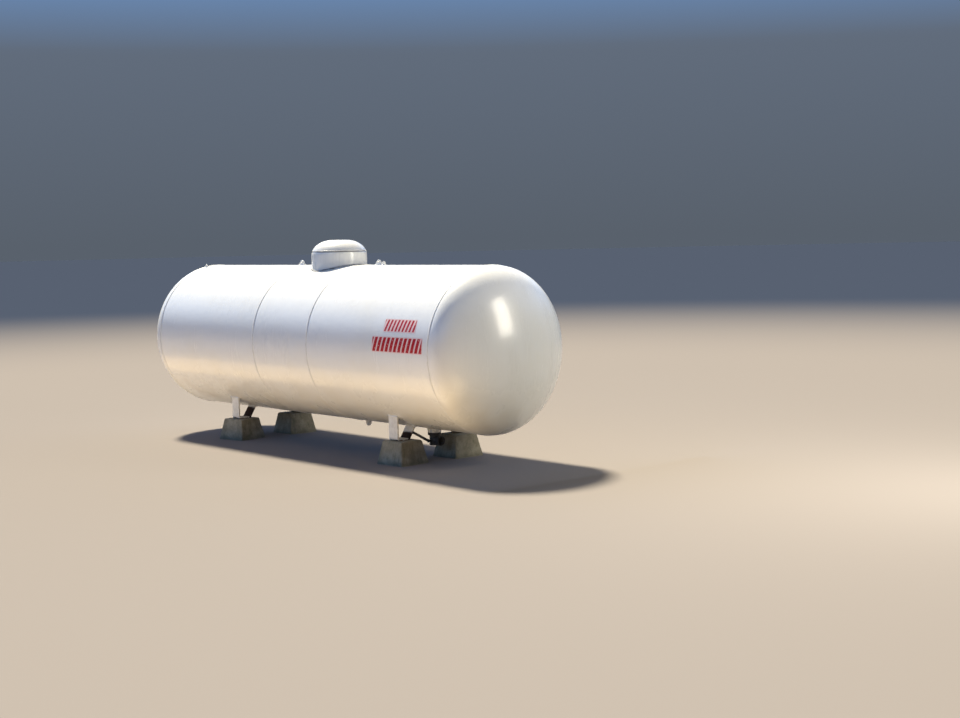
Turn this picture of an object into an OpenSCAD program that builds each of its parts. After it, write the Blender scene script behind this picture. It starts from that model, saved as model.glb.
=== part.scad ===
// Horizontal pressure tank for liquefied gas, standing on four precast concrete blocks.
// X runs along the tank, the front is towards -Y, and the ground is at Z = 0.

/* [Vessel] */
// Outside diameter of the shell, 46 inches
vessel_d = 1168; // [900:1:1400]
// Length between the tangent lines of the two heads
tangent_len = 3531; // [2900:1:4500]
// Depth of each dished head, a quarter of the diameter on a 2 to 1 head
head_depth = 292; // [180:1:400]
// Straight skirt of each head, from its tangent line to its weld
head_skirt = 12; // [4:1:60]
// Plate thickness of the three shell courses
shell_t = 8; // [5:0.5:14]
// Plate thickness of the heads
head_t = 7; // [5:0.5:14]
// Length of the short middle course
middle_len = 712; // [500:1:1400]
// Width of a girth weld bead
bead_w = 14; // [6:1:30]
// Height of a girth weld bead above the plate
bead_h = 2.2; // [1:0.1:5]

/* [Support] */
// Height of the tank's centre line above the ground
axis_h = 812; // [780:1:950]
// Half the distance between the left and the right pair of legs
leg_x = 1035; // [700:1:1400]
// How far both pairs of legs are set off to the right of the tank's middle
leg_offset = 25; // [-60:1:60]
// Width of the flat bar that a leg is bent from
leg_w = 100; // [60:1:160]
// Thickness of the flat bar that a leg is bent from
leg_t = 11; // [6:0.5:20]
// Inside radius of the two folds in a leg's bar
fold_r = 7; // [3:0.5:12]
// Leg of the fillet welds that hold legs, lugs and nozzles to the shell
foot_weld_leg = 5; // [3:0.5:8]
// Distance from the tank's centre plane to the upright outer arm
leg_out_y = 337; // [280:1:380]
// Distance from the tank's centre plane to the foot of the inner arm
leg_in_y = 236; // [200:1:260]
// Distance from the tank's centre plane to the top of the inner arm
leg_top_y = 184; // [120:1:200]
// Side of a concrete block at the ground
block_base = 267; // [220:1:360]
// Side of a concrete block at its top
block_top = 200; // [180:1:260]
// Height of a concrete block
block_h = 165; // [120:1:175]
// Bevel along the edges of a concrete block
block_bevel = 9; // [3:1:20]
// How far the right pair of blocks stands further to the right than its legs
block_shift = 30; // [0:1:60]
// How far the back blocks stand further in than their legs
block_inset = 60; // [0:1:80]
// Turn of the left front block, three times that of the right front one
block_turn = 12; // [-21:1:21]

/* [Valve hood] */
// Outside diameter of the welded collar
hood_d = 425; // [400:1:520]
// Plate thickness of the collar
collar_t = 4; // [3:0.5:6]
// Sheet thickness of the lid
lid_t = 3; // [2:0.5:4]
// Height above the tank's crown where the shoulder starts to curve in
spring_h = 75; // [65:1:110]
// Height of the rounded shoulder
shoulder_h = 116; // [95:1:140]
// Width of the rounded shoulder, seen from above
shoulder_w = 160; // [140:1:180]
// Height above the tank's crown of the lid's lower edge
hem_h = 106; // [100:1:112]
// How far the lid's rolled edge stands proud
hem_proud = 1.2; // [0.5:0.1:4]
// Height of the lid's rolled edge
hem_w = 6; // [3:0.5:10]
// Space between the lid's edge and the collar's neck
lid_clear = 6.5; // [5:0.5:10]
// Space between the lid's edge and the collar's step
step_clear = 5; // [5:0.5:8]
// Leg of the fillet weld round the collar's foot
fillet_leg = 7; // [3:0.5:12]

/* [Hinge] */
// Distance of the hinge pin behind the collar
hinge_back = 16; // [13:0.5:24]
// Height of the hinge pin below the lid's lower edge
hinge_drop = 8; // [6:0.5:14]
// Diameter of the hinge pin
pin_d = 8; // [6:0.5:10]
// Radial clearance of the hinge pin in its knuckles
pin_clear = 0.08; // [0.02:0.01:0.1]
// Wall of a hinge knuckle
knuckle_wall = 4; // [3:0.5:5]
// Width of the lid's hinge strap
strap_w = 28; // [20:1:40]
// Thickness of the lid's hinge strap
strap_t = 4; // [3:0.5:6]
// Width of each hinge ear on the collar
ear_w = 22; // [14:1:30]
// Side gap between the strap and an ear
ear_gap = 1; // [0.5:0.1:2]
// Height of a hinge ear where it meets the collar
ear_h = 52; // [40:1:60]

/* [Valves under the hood] */
// Height of the welded couplings above the tank's crown
coupling_h = 16; // [12:1:24]
// Outside diameter of the relief valve's hexagon across its flats
relief_af = 62; // [50:1:70]
// Diameter of the relief valve's barrel
relief_d = 54; // [44:1:60]
// Outside diameter of the fill valve's threaded barrel
fill_d = 44; // [36:1:50]
// Outside diameter of the vapour valve's threaded barrel
vapour_d = 31; // [26:1:36]
// Diameter of the gauge's flange
gauge_d = 72; // [60:1:80]
// Diameter of the gauge's dial
dial_d = 50; // [40:1:56]
// Diameter of the service valve's handwheel
wheel_d = 54; // [40:1:62]
// Diameter of the hexagon plug's thread collar
plug_d = 48; // [40:1:54]

/* [Outside fittings] */
// Distance from the middle of the tank to each lifting lug
lug_x = 497; // [420:1:900]
// Length of a lifting lug along the shell
lug_len = 80; // [60:1:120]
// Height of a lifting lug above the tank's crown
lug_h = 38; // [34:1:60]
// Plate thickness of a lifting lug
lug_t = 12; // [8:1:20]
// Diameter of a lifting lug's hole
lug_hole_d = 22; // [16:1:30]
// Space between the drain coupling's weld and the girth weld of the middle and right courses
drain_gap = 2; // [1:1:80]
// Outside diameter of the drain coupling
drain_d = 44; // [36:1:60]
// Length of the drain coupling below the shell
drain_len = 34; // [20:1:60]
// Distance from the middle of the tank to the liquid outlet
outlet_x = 1100; // [900:1:1300]
// Outside diameter of the outlet nozzle
nozzle_d = 98; // [80:1:120]
// Length of the outlet nozzle below the shell
nozzle_len = 34; // [20:1:50]
// Height of the outlet valve's body
valve_h = 92; // [80:1:110]
// Diameter of the outlet valve's body
valve_d = 84; // [70:1:100]
// Diameter of the threaded outlet port
port_d = 54; // [40:1:60]
// Depth of the threaded outlet port
port_depth = 36; // [20:1:45]
// Wall round the outlet port
port_wall = 8; // [5:1:12]
// Length of the outlet valve's lever
lever_len = 210; // [120:1:240]

/* [Hidden] */

// Gap left between curved faces that rest on each other
seat = 0.3;
// Overlap that keeps cuts and unions clean
eps = 1;

vessel_r = vessel_d / 2;
crown_z = axis_h + vessel_r;
belly_z = axis_h - vessel_r;
weld_x = tangent_len / 2 - head_skirt;
mid_x = middle_len / 2;
drain_x = mid_x - bead_w / 2 - foot_weld_leg - drain_d / 2 - drain_gap;

hood_r = hood_d / 2;
crown_flat_r = hood_r - shoulder_w;
hinge_y = hood_r + hinge_back;
hinge_h = hem_h - hinge_drop;
pin_r = pin_d / 2;
knuckle_r = pin_r + knuckle_wall;
steps = 18;
fold_steps = 6;

// Place in the valve hood, from the hood's centre
relief_at = [0, 48];
fill_at = [-105, -25];
vapour_at = [-20, -110];
gauge_at = [75, -85];
service_at = [105, 30];
plug_at = [-75, 95];

module on_axis(x) {
    translate([x, 0, axis_h]) rotate([0, 90, 0]) children();
}

// Solid of the whole shell, a little larger, that seats a piece on its curved plate
module shell_space(grow) {
    on_axis(-tangent_len / 2) cylinder(h = tangent_len, r = vessel_r + grow, $fn = 180);
}

module course(x, len) {
    color("white") on_axis(x) difference() {
        cylinder(h = len, r = vessel_r, $fn = 180);
        translate([0, 0, -eps]) cylinder(h = len + 2 * eps, r = vessel_r - shell_t, $fn = 180);
    }
}

module shell_left() {
    course(-weld_x, weld_x - mid_x);
}

module shell_middle() {
    course(-mid_x, middle_len);
}

module shell_right() {
    course(mid_x, weld_x - mid_x);
}

// Quarter of an ellipse from the tangent line to the pole
function head_arc(r, depth, n) =
    [for (i = [0:n]) [r * cos(90 * i / n), head_skirt + depth * sin(90 * i / n)]];

function backwards(list) = [for (i = [len(list) - 1:-1:0]) list[i]];

module head() {
    outer = head_arc(vessel_r, head_depth, 2 * steps);
    inner = head_arc(vessel_r - head_t, head_depth - head_t, 2 * steps);
    color("white") on_axis(weld_x) rotate_extrude($fn = 180)
        polygon(concat([[vessel_r, 0]], outer, backwards(inner), [[vessel_r - head_t, 0]]));
}

module head_right() {
    head();
}

module head_left() {
    mirror([1, 0, 0]) head();
}

module girth_bead(x) {
    foot_r = vessel_r + seat;
    color("gainsboro") on_axis(x) rotate_extrude($fn = 180)
        polygon([for (i = [0:8]) [foot_r + bead_h * sin(180 * i / 8), bead_w * (i / 8 - 0.5)]]);
}

module weld_head_left() {
    girth_bead(-weld_x);
}

module weld_mid_left() {
    girth_bead(-mid_x);
}

module weld_mid_right() {
    girth_bead(mid_x);
}

module weld_head_right() {
    girth_bead(weld_x);
}

// Keeps the part of its children that lies within a weld's leg of the shell
module foot_weld() {
    intersection() {
        difference() {
            shell_space(seat + foot_weld_leg);
            shell_space(seat);
        }
        children();
    }
}

// Arc of radius r that rounds the corner at b on the path from a to c
function round_corner(a, b, c, r) =
    let (u = (a - b) / norm(a - b), v = (c - b) / norm(c - b), half = acos(u * v) / 2,
         centre = b + (u + v) / norm(u + v) * r / sin(half),
         first = b + u * r / tan(half) - centre, last = b + v * r / tan(half) - centre)
    [for (i = [0:fold_steps])
        let (m = first * (1 - i / fold_steps) + last * i / fold_steps) centre + m * r / norm(m)];

// One face of a leg's bar, a distance in or out of its middle, from the outer arm round to the inner one
function leg_face(out, r) =
    let (foot_z = block_h + leg_t / 2,
         rise = [leg_top_y - leg_in_y, axis_h - sqrt(pow(vessel_r, 2) - pow(leg_top_y, 2)) - foot_z],
         along = rise / norm(rise), inner = [leg_in_y, foot_z] + [-along[1], along[0]] * out,
         a = [leg_out_y + out, axis_h], b = [leg_out_y + out, foot_z - out],
         c = inner + along * (foot_z - out - inner[1]) / along[1],
         d = inner + along * (norm(rise) + 4 * leg_t))
    concat([a], round_corner(a, b, c, r), round_corner(b, c, d, r), [d]);

// One leg: an upright outer arm, a foot and a slanted inner arm, folded from one flat bar
module leg(side_x, side_y) {
    low_x = side_x * leg_x + leg_offset - leg_w / 2;
    weld_t = leg_t + 2 * foot_weld_leg;
    color("whitesmoke") scale([1, side_y, 1]) {
        difference() {
            translate([low_x, 0, 0]) rotate([90, 0, 90]) linear_extrude(leg_w) polygon(concat(
                leg_face(leg_t / 2, fold_r + leg_t),
                backwards(leg_face(-leg_t / 2, fold_r))));
            shell_space(seat);
        }
        foot_weld() for (y = [leg_out_y, leg_top_y])
            translate([low_x - foot_weld_leg, y - weld_t / 2, 0])
                cube([leg_w + 2 * foot_weld_leg, weld_t, axis_h]);
    }
}

module leg_front_left() {
    leg(-1, -1);
}

module leg_front_right() {
    leg(1, -1);
}

module leg_back_left() {
    leg(-1, 1);
}

module leg_back_right() {
    leg(1, 1);
}

// Square with its corners cut off, as the outline of a block at one height
module cut_square(side, cut) {
    h = side / 2;
    c = h - cut;
    polygon([[c, -h], [h, -c], [h, c], [c, h], [-c, h], [-h, c], [-h, -c], [-c, -h]]);
}

module block(side_x, side_y, turn) {
    x = side_x * leg_x + leg_offset + (side_x > 0 ? block_shift : 0);
    y = side_y * (leg_out_y + leg_in_y) / 2 - (side_y > 0 ? block_inset : 0);
    slope = (block_base - block_top) / block_h;
    thin = 0.1;
    color("dimgray") translate([x, y, 0]) rotate(turn) hull() {
        linear_extrude(thin) cut_square(block_base, block_bevel);
        translate([0, 0, block_h - block_bevel - thin]) linear_extrude(thin)
            cut_square(block_top + slope * block_bevel, block_bevel);
        translate([0, 0, block_h - thin]) linear_extrude(thin)
            cut_square(block_top - 2 * block_bevel, block_bevel / 2);
    }
}

module block_front_left() {
    block(-1, -1, block_turn);
}

module block_front_right() {
    block(1, -1, block_turn / 3);
}

module block_back_left() {
    block(-1, 1, 0);
}

module block_back_right() {
    block(1, 1, 0);
}

// The hood's rounded shoulder as an ellipse, pushed outwards by a distance
function shoulder_pt(a, out) =
    let (n = [shoulder_h * cos(a), shoulder_w * sin(a)])
    [crown_flat_r + shoulder_w * cos(a) + out * n[0] / norm(n),
     spring_h + shoulder_h * sin(a) + out * n[1] / norm(n)];

// Angle on the shoulder at a height, and height at a distance from the hood's centre
function shoulder_angle(h) = asin((h - spring_h) / shoulder_h);
function under_lid_angle(r) = acos((r - crown_flat_r) / (shoulder_w - lid_t));
function under_lid_h(r) = spring_h + (shoulder_h - lid_t) * sin(under_lid_angle(r));

hem_angle = shoulder_angle(hem_h);
hem_in_r = shoulder_pt(hem_angle, -lid_t)[0];
neck_r = hem_in_r - lid_clear;
rim_h = under_lid_h(neck_r) - seat;
step_h = hem_h - step_clear;

module hood_collar() {
    step_a = shoulder_angle(step_h);
    outside = [for (i = [0:4]) shoulder_pt(step_a * i / 4, 0)];
    inside = [for (i = [4:-1:0]) shoulder_pt(step_a * i / 4, -collar_t)];
    foot = -vessel_r / 4;
    color("lightsteelblue") difference() {
        translate([0, 0, crown_z]) rotate_extrude($fn = 120) polygon(concat(
            [[hood_r - collar_t, foot], [hood_r, foot]],
            outside,
            [[neck_r, step_h], [neck_r, rim_h], [neck_r - collar_t, rim_h],
             [neck_r - collar_t, step_h - collar_t]],
            inside));
        shell_space(seat);
    }
}

module collar_weld() {
    color("gainsboro") intersection() {
        difference() {
            shell_space(seat + fillet_leg);
            shell_space(seat);
        }
        translate([0, 0, axis_h]) difference() {
            cylinder(h = 2 * vessel_r, r = hood_r + seat + fillet_leg, $fn = 120);
            translate([0, 0, -eps]) cylinder(h = 2 * vessel_r + 2 * eps, r = hood_r + seat, $fn = 120);
        }
    }
}

module hood_lid() {
    outside = [for (i = [0:steps]) shoulder_pt(hem_angle + (90 - hem_angle) * i / steps, 0)];
    inside = [for (i = [steps:-1:0]) shoulder_pt(hem_angle + (90 - hem_angle) * i / steps, -lid_t)];
    hem_r = outside[0][0] + hem_proud;
    above_hem = [for (p = outside) if (p[1] > hem_h + hem_w) p];
    crown = spring_h + shoulder_h;
    color("lightsteelblue") translate([0, 0, crown_z]) rotate_extrude($fn = 120) polygon(concat(
        [[hem_in_r, hem_h], [hem_r, hem_h], [hem_r, hem_h + hem_w * 0.6]],
        above_hem,
        [[0, crown], [0, crown - lid_t]],
        [for (p = inside) if (p[1] > hem_h) p]));
}

module hinge_profile() {
    front = hood_r - 2 * collar_t;
    polygon([[front, hinge_h - ear_h], [hinge_y + knuckle_r * 0.8, hinge_h - knuckle_r * 0.6],
             [hinge_y, hinge_h + knuckle_r], [front, hinge_h - collar_t]]);
    translate([hinge_y, hinge_h]) circle(r = knuckle_r, $fn = 48);
}

module hinge_ears() {
    color("lightsteelblue") for (side = [-1, 1]) difference() {
        translate([side * (strap_w / 2 + ear_gap + ear_w / 2) - ear_w / 2, 0, crown_z])
            rotate([90, 0, 90]) linear_extrude(ear_w) difference() {
                hinge_profile();
                translate([hinge_y, hinge_h]) circle(r = pin_r + pin_clear, $fn = 48);
            }
        translate([0, 0, axis_h]) cylinder(h = 2 * vessel_r, r = hood_r + seat, $fn = 120);
        shell_space(seat);
    }
}

module hinge_pin() {
    reach = strap_w / 2 + ear_gap + ear_w + seat;
    head_len = 3;
    color("silver") translate([0, hinge_y, crown_z + hinge_h]) rotate([0, 90, 0]) {
        translate([0, 0, -reach]) cylinder(h = 2 * reach, r = pin_r, $fn = 48);
        for (end = [-reach - head_len, reach])
            translate([0, 0, end]) cylinder(h = head_len, r = pin_r * 1.5, $fn = 48);
    }
}

module lid_hinge() {
    low_a = 26;
    high_a = 62;
    inside = [for (i = [0:steps]) shoulder_pt(low_a + (high_a - low_a) * i / steps, seat)];
    outside = [for (i = [steps:-1:0]) shoulder_pt(low_a + (high_a - low_a) * i / steps, seat + strap_t)];
    pin_at = [hinge_y, hinge_h];
    rise = inside[0] - pin_at;
    across = [-rise[1], rise[0]] * strap_t / 2 / norm(rise);
    color("lightsteelblue") translate([-strap_w / 2, 0, crown_z]) rotate([90, 0, 90]) difference() {
        union() {
            linear_extrude(strap_w) polygon(concat(inside, outside, [pin_at - across, pin_at + across]));
            translate(pin_at) cylinder(h = strap_w, r = knuckle_r, $fn = 48);
        }
        translate([pin_at[0], pin_at[1], -eps])
            cylinder(h = strap_w + 2 * eps, r = pin_r + pin_clear, $fn = 48);
    }
}

// Places a valve on the crown and cuts its coupling to the curve of the shell
module valve_at(at, coupling_d) {
    difference() {
        translate([at[0], at[1], crown_z - vessel_r / 4])
            cylinder(h = vessel_r / 4 + coupling_h, d = coupling_d, $fn = 64);
        shell_space(seat);
    }
    translate([at[0], at[1], crown_z + coupling_h]) children();
}

module hexagon(af, h) {
    cylinder(h = h, d = af / cos(30), $fn = 6);
}

relief_hex_h = 18;
relief_barrel_h = 44;
cap_lap = 8;

module relief_valve() {
    color("darkgoldenrod") valve_at(relief_at, relief_af * 1.2) {
        hexagon(relief_af, relief_hex_h);
        translate([0, 0, relief_hex_h]) cylinder(h = relief_barrel_h, d = relief_d, $fn = 64);
    }
}

module relief_cap() {
    cap_t = 3;
    cap_z = crown_z + coupling_h + relief_hex_h + relief_barrel_h;
    cap_r = relief_d / 2;
    color("gold") translate([relief_at[0], relief_at[1], cap_z]) rotate_extrude($fn = 64) polygon([
        [0, seat], [cap_r + seat, seat], [cap_r + seat, -cap_lap],
        [cap_r + cap_t, -cap_lap], [cap_r + cap_t, cap_t], [cap_r - cap_t, 2 * cap_t], [0, 2.5 * cap_t]]);
}

fill_hex_h = 14;
fill_barrel_h = 30;

module fill_valve() {
    color("darkgoldenrod") valve_at(fill_at, fill_d * 1.55) {
        hexagon(fill_d * 1.25, fill_hex_h);
        translate([0, 0, fill_hex_h]) cylinder(h = fill_barrel_h, d = fill_d, $fn = 64);
    }
}

// Ribbed screw cap over a threaded barrel
module screw_cap(d, h, ribs) {
    wall = 4;
    difference() {
        union() {
            translate([0, 0, -h]) cylinder(h = h + wall, d = d + 2 * wall, $fn = 64);
            for (i = [0:ribs - 1]) rotate(360 * i / ribs) translate([d / 2 + wall, 0, -h])
                cylinder(h = h, r = wall / 2, $fn = 16);
        }
        translate([0, 0, -h - eps]) cylinder(h = h + eps + seat, d = d + 2 * seat, $fn = 64);
    }
}

module fill_cap() {
    cap_z = crown_z + coupling_h + fill_hex_h + fill_barrel_h;
    color("gold") translate([fill_at[0], fill_at[1], cap_z])
        screw_cap(fill_d, fill_barrel_h * 0.8, 12);
}

vapour_hex_h = 12;
vapour_barrel_h = 26;

module vapour_valve() {
    color("darkgoldenrod") valve_at(vapour_at, vapour_d * 1.7) {
        hexagon(vapour_d * 1.25, vapour_hex_h);
        translate([0, 0, vapour_hex_h]) cylinder(h = vapour_barrel_h, d = vapour_d, $fn = 64);
    }
}

module vapour_cap() {
    cap_z = crown_z + coupling_h + vapour_hex_h + vapour_barrel_h;
    color("gold") translate([vapour_at[0], vapour_at[1], cap_z])
        screw_cap(vapour_d, vapour_barrel_h * 0.8, 10);
}

gauge_flange_h = 8;

module level_gauge() {
    color("silver") valve_at(gauge_at, gauge_d + 6) {
        cylinder(h = gauge_flange_h, d = gauge_d, $fn = 64);
        for (i = [0:3]) rotate(45 + 90 * i) translate([gauge_d / 2 - 6, 0, gauge_flange_h - eps])
            hexagon(8, 5 + eps);
    }
}

module gauge_dial() {
    dial_h = 14;
    dial_z = crown_z + coupling_h + gauge_flange_h;
    color("white") translate([gauge_at[0], gauge_at[1], dial_z]) difference() {
        cylinder(h = dial_h, d = dial_d - 8, $fn = 64);
        translate([0, 0, dial_h - 2]) cylinder(h = 2 + eps, d = dial_d - 14, $fn = 64);
    }
}

service_hex_h = 14;
service_body_h = 36;
service_stem_h = 14;

module service_valve() {
    body_d = 34;
    outlet_h = service_hex_h + service_body_h / 2;
    outlet_reach = 44;
    color("darkgoldenrod") valve_at(service_at, 56) {
        hexagon(42, service_hex_h);
        translate([0, 0, service_hex_h]) cylinder(h = service_body_h, d = body_d, $fn = 48);
        translate([0, 0, service_hex_h + service_body_h]) hexagon(26, service_stem_h / 2);
        translate([0, 0, service_hex_h + service_body_h]) cylinder(h = service_stem_h, d = 12, $fn = 32);
        translate([0, 0, outlet_h]) rotate([0, 90, 0]) cylinder(h = outlet_reach, d = 26, $fn = 48);
        translate([outlet_reach, 0, outlet_h]) rotate([0, 90, 0]) hexagon(24, 10);
    }
}

module service_handwheel() {
    wheel_h = 9;
    lobes = 8;
    color("firebrick") translate([service_at[0], service_at[1],
        crown_z + coupling_h + service_hex_h + service_body_h + service_stem_h]) difference() {
            cylinder(h = wheel_h, d = wheel_d, $fn = 64);
            for (i = [0:lobes - 1]) rotate(360 * i / lobes) {
                translate([wheel_d / 2 + 4, 0, -eps]) cylinder(h = wheel_h + 2 * eps, d = 16, $fn = 32);
                rotate(180 / lobes) translate([wheel_d * 0.28, 0, -eps])
                    cylinder(h = wheel_h + 2 * eps, d = wheel_d * 0.12, $fn = 24);
            }
        }
}

module liquid_plug() {
    color("darkgoldenrod") valve_at(plug_at, plug_d * 1.25) {
        cylinder(h = 6, d = plug_d, $fn = 64);
        translate([0, 0, 6]) hexagon(plug_d * 0.75, 20);
    }
}

// Lifting lug: a plate with sloped shoulders, a round top and a hole for a shackle
module lug(x) {
    top_r = lug_h - lug_hole_d * 0.8;
    color("white") difference() {
        translate([x, lug_t / 2, crown_z]) rotate([90, 0, 0]) linear_extrude(lug_t) difference() {
            hull() {
                translate([-lug_len / 2, -eps]) square([lug_len, 2 * eps]);
                translate([0, lug_h - top_r]) circle(r = top_r, $fn = 48);
            }
            translate([0, lug_h - top_r]) circle(d = lug_hole_d, $fn = 48);
        }
        shell_space(seat);
    }
    weld_len = lug_len + 2 * foot_weld_leg;
    weld_t = lug_t + 2 * foot_weld_leg;
    color("white") foot_weld() translate([x - weld_len / 2, -weld_t / 2, axis_h])
        cube([weld_len, weld_t, 2 * vessel_r]);
}

module lug_left() {
    lug(-lug_x);
}

module lug_right() {
    lug(lug_x);
}

module top_coupling() {
    reach = 18;
    d = 28;
    color("white") difference() {
        translate([lug_x + lug_len / 2 + foot_weld_leg + d * 0.6, 0, crown_z - reach]) {
            cylinder(h = 2 * reach, d = d, $fn = 48);
            translate([0, 0, 2 * reach]) hexagon(d * 0.6, 8);
        }
        shell_space(seat);
    }
}

// Small drilled lug on the shell beside the left head
module head_lug() {
    turn = 13;
    plate_t = 8;
    reach = 22;
    weld_gap = 17;
    color("white") difference() {
        translate([-weld_x + bead_w + weld_gap, 0, axis_h]) rotate([turn, 0, 0])
            translate([0, plate_t / 2, vessel_r]) rotate([90, 0, 0]) linear_extrude(plate_t) difference() {
                union() {
                    translate([-reach / 2, -eps]) square([reach, reach * 0.6]);
                    translate([0, reach * 0.6]) circle(d = reach, $fn = 48);
                }
                translate([0, reach * 0.6]) circle(d = reach * 0.4, $fn = 32);
            }
        shell_space(seat);
    }
}

module drain_coupling() {
    color("white") difference() {
        translate([drain_x, 0, belly_z - drain_len])
            cylinder(h = drain_len + vessel_r / 4, d = drain_d, $fn = 48);
        shell_space(seat);
    }
    color("white") foot_weld() translate([drain_x, 0, 0])
        cylinder(h = axis_h, d = drain_d + 2 * foot_weld_leg, $fn = 48);
    color("white") translate([drain_x, 0, belly_z - drain_len - 12]) hexagon(drain_d * 0.6, 12);
}

module outlet_nozzle() {
    color("whitesmoke") difference() {
        translate([outlet_x, 0, belly_z - nozzle_len])
            cylinder(h = nozzle_len + vessel_r / 4, d = nozzle_d, $fn = 64);
        shell_space(seat);
    }
    color("whitesmoke") foot_weld() translate([outlet_x, 0, 0])
        cylinder(h = axis_h, d = nozzle_d + 2 * foot_weld_leg, $fn = 64);
}

valve_top_z = belly_z - nozzle_len;
port_z = valve_top_z - valve_h * 0.62;

// Internal valve body screwed in the nozzle, with a side port along the tank
module outlet_valve() {
    port_r = port_d / 2;
    reach = valve_d / 2 + port_depth;
    color("dimgray") translate([outlet_x, 0, 0]) difference() {
        union() {
            translate([0, 0, valve_top_z - valve_h * 0.2]) hexagon(valve_d, valve_h * 0.2);
            translate([0, 0, valve_top_z - valve_h])
                cylinder(h = valve_h * 0.8, d = valve_d * 0.9, $fn = 64);
            translate([0, 0, port_z]) rotate([0, 90, 0])
                cylinder(h = reach, r = port_r + port_wall, $fn = 64);
        }
        translate([reach - port_depth, 0, port_z]) rotate([0, 90, 0])
            cylinder(h = port_depth + eps, r = port_r, $fn = 64);
    }
}

// Cranked lever on a shaft that comes out of the front of the outlet valve
module outlet_lever() {
    boss_d = 26;
    boss_len = 16;
    lever_t = 6;
    lever_w = boss_d * 0.7;
    tip_x = lever_len - lever_w / 2;
    front_y = -valve_d * 0.45 - boss_len;
    color("black") difference() {
        translate([outlet_x, front_y, port_z]) rotate([-90, 0, 0]) {
            translate([0, 0, -eps]) cylinder(h = boss_len + boss_d / 2 + eps, d = boss_d * 0.5, $fn = 32);
            rotate(195) translate([0, 0, -lever_t]) linear_extrude(lever_t) difference() {
                union() {
                    circle(d = boss_d, $fn = 48);
                    translate([0, -lever_w / 2]) square([tip_x, lever_w]);
                    translate([tip_x, 0]) circle(d = lever_w, $fn = 32);
                }
                translate([tip_x, 0]) circle(d = lever_w * 0.45, $fn = 24);
            }
        }
        translate([outlet_x, 0, belly_z - nozzle_len - 2 * valve_h])
            cylinder(h = 2 * valve_h, d = valve_d * 0.9 + 2 * seat, $fn = 64);
    }
}

shell_left();
shell_middle();
shell_right();
head_left();
head_right();
weld_head_left();
weld_mid_left();
weld_mid_right();
weld_head_right();
leg_front_left();
leg_front_right();
leg_back_left();
leg_back_right();
block_front_left();
block_front_right();
block_back_left();
block_back_right();
hood_collar();
collar_weld();
hood_lid();
hinge_ears();
hinge_pin();
lid_hinge();
relief_valve();
relief_cap();
fill_valve();
fill_cap();
vapour_valve();
vapour_cap();
level_gauge();
gauge_dial();
service_valve();
service_handwheel();
liquid_plug();
lug_left();
lug_right();
top_coupling();
head_lug();
drain_coupling();
outlet_nozzle();
outlet_valve();
outlet_lever();
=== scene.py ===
import math

import bmesh
import bpy
from mathutils import Matrix, Vector, noise


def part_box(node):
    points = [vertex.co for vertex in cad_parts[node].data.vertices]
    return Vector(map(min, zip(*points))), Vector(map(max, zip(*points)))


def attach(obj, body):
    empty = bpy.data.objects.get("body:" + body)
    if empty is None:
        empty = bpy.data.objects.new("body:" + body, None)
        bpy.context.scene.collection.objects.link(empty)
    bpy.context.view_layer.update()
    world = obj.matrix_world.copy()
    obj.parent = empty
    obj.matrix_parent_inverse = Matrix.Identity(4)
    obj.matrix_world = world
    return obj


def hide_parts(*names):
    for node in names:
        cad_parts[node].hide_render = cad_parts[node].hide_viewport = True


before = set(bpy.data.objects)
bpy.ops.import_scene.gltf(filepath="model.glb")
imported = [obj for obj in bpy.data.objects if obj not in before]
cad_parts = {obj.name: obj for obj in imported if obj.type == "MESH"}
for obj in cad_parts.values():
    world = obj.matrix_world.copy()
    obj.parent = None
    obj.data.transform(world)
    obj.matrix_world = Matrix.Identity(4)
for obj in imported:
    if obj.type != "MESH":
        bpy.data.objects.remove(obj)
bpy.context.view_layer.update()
print("frame loaded with", len(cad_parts), "nodes")

# Places that everything else is worked out from, all read from the frame
plateLow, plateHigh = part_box("shell_middle")
tankR = (plateHigh.y - plateLow.y) / 2
midX = plateHigh.x
axisZ = plateLow.z + tankR
crownZ = axisZ + tankR
bellyZ = axisZ - tankR
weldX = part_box("shell_right")[1].x
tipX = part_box("head_right")[1].x
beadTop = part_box("weld_mid_right")[1].y - tankR
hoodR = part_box("hood_collar")[1].x
lidLow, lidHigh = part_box("hood_lid")
fullTurn = 2 * math.pi


# Small helpers for node trees

def feed(tree, sockets, values):
    for key, value in values.items():
        if isinstance(value, bpy.types.NodeSocket):
            tree.links.new(value, sockets[key])
        else:
            sockets[key].default_value = value


def addNode(tree, kind, inputs=None, **settings):
    made = tree.nodes.new("ShaderNode" + kind)
    for key, value in settings.items():
        setattr(made, key, value)
    feed(tree, made.inputs, inputs or {})
    return made


def math2(tree, operation, a, b=0.0, clamp=False):
    return addNode(tree, "Math", {0: a, 1: b}, operation=operation, use_clamp=clamp).outputs[0]


def plus(tree, a, b, clamp=False):
    return math2(tree, "ADD", a, b, clamp)


def less(tree, a, b):
    return math2(tree, "SUBTRACT", a, b)


def times(tree, a, b, clamp=False):
    return math2(tree, "MULTIPLY", a, b, clamp)


def gapTo(tree, value, place):
    return math2(tree, "ABSOLUTE", less(tree, value, place))


def remap(tree, value, low, high, newLow=0.0, newHigh=1.0, curve="SMOOTHSTEP"):
    inputs = {"Value": value, "From Min": low, "From Max": high, "To Min": newLow, "To Max": newHigh}
    return addNode(tree, "MapRange", inputs, interpolation_type=curve).outputs["Result"]


def mixColour(tree, amount, first, second):
    return addNode(tree, "Mix", {0: amount, 6: first, 7: second}, data_type="RGBA").outputs[2]


def axes(tree):
    place = addNode(tree, "TexCoord").outputs["Object"]
    return addNode(tree, "SeparateXYZ", {"Vector": place}).outputs


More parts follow.
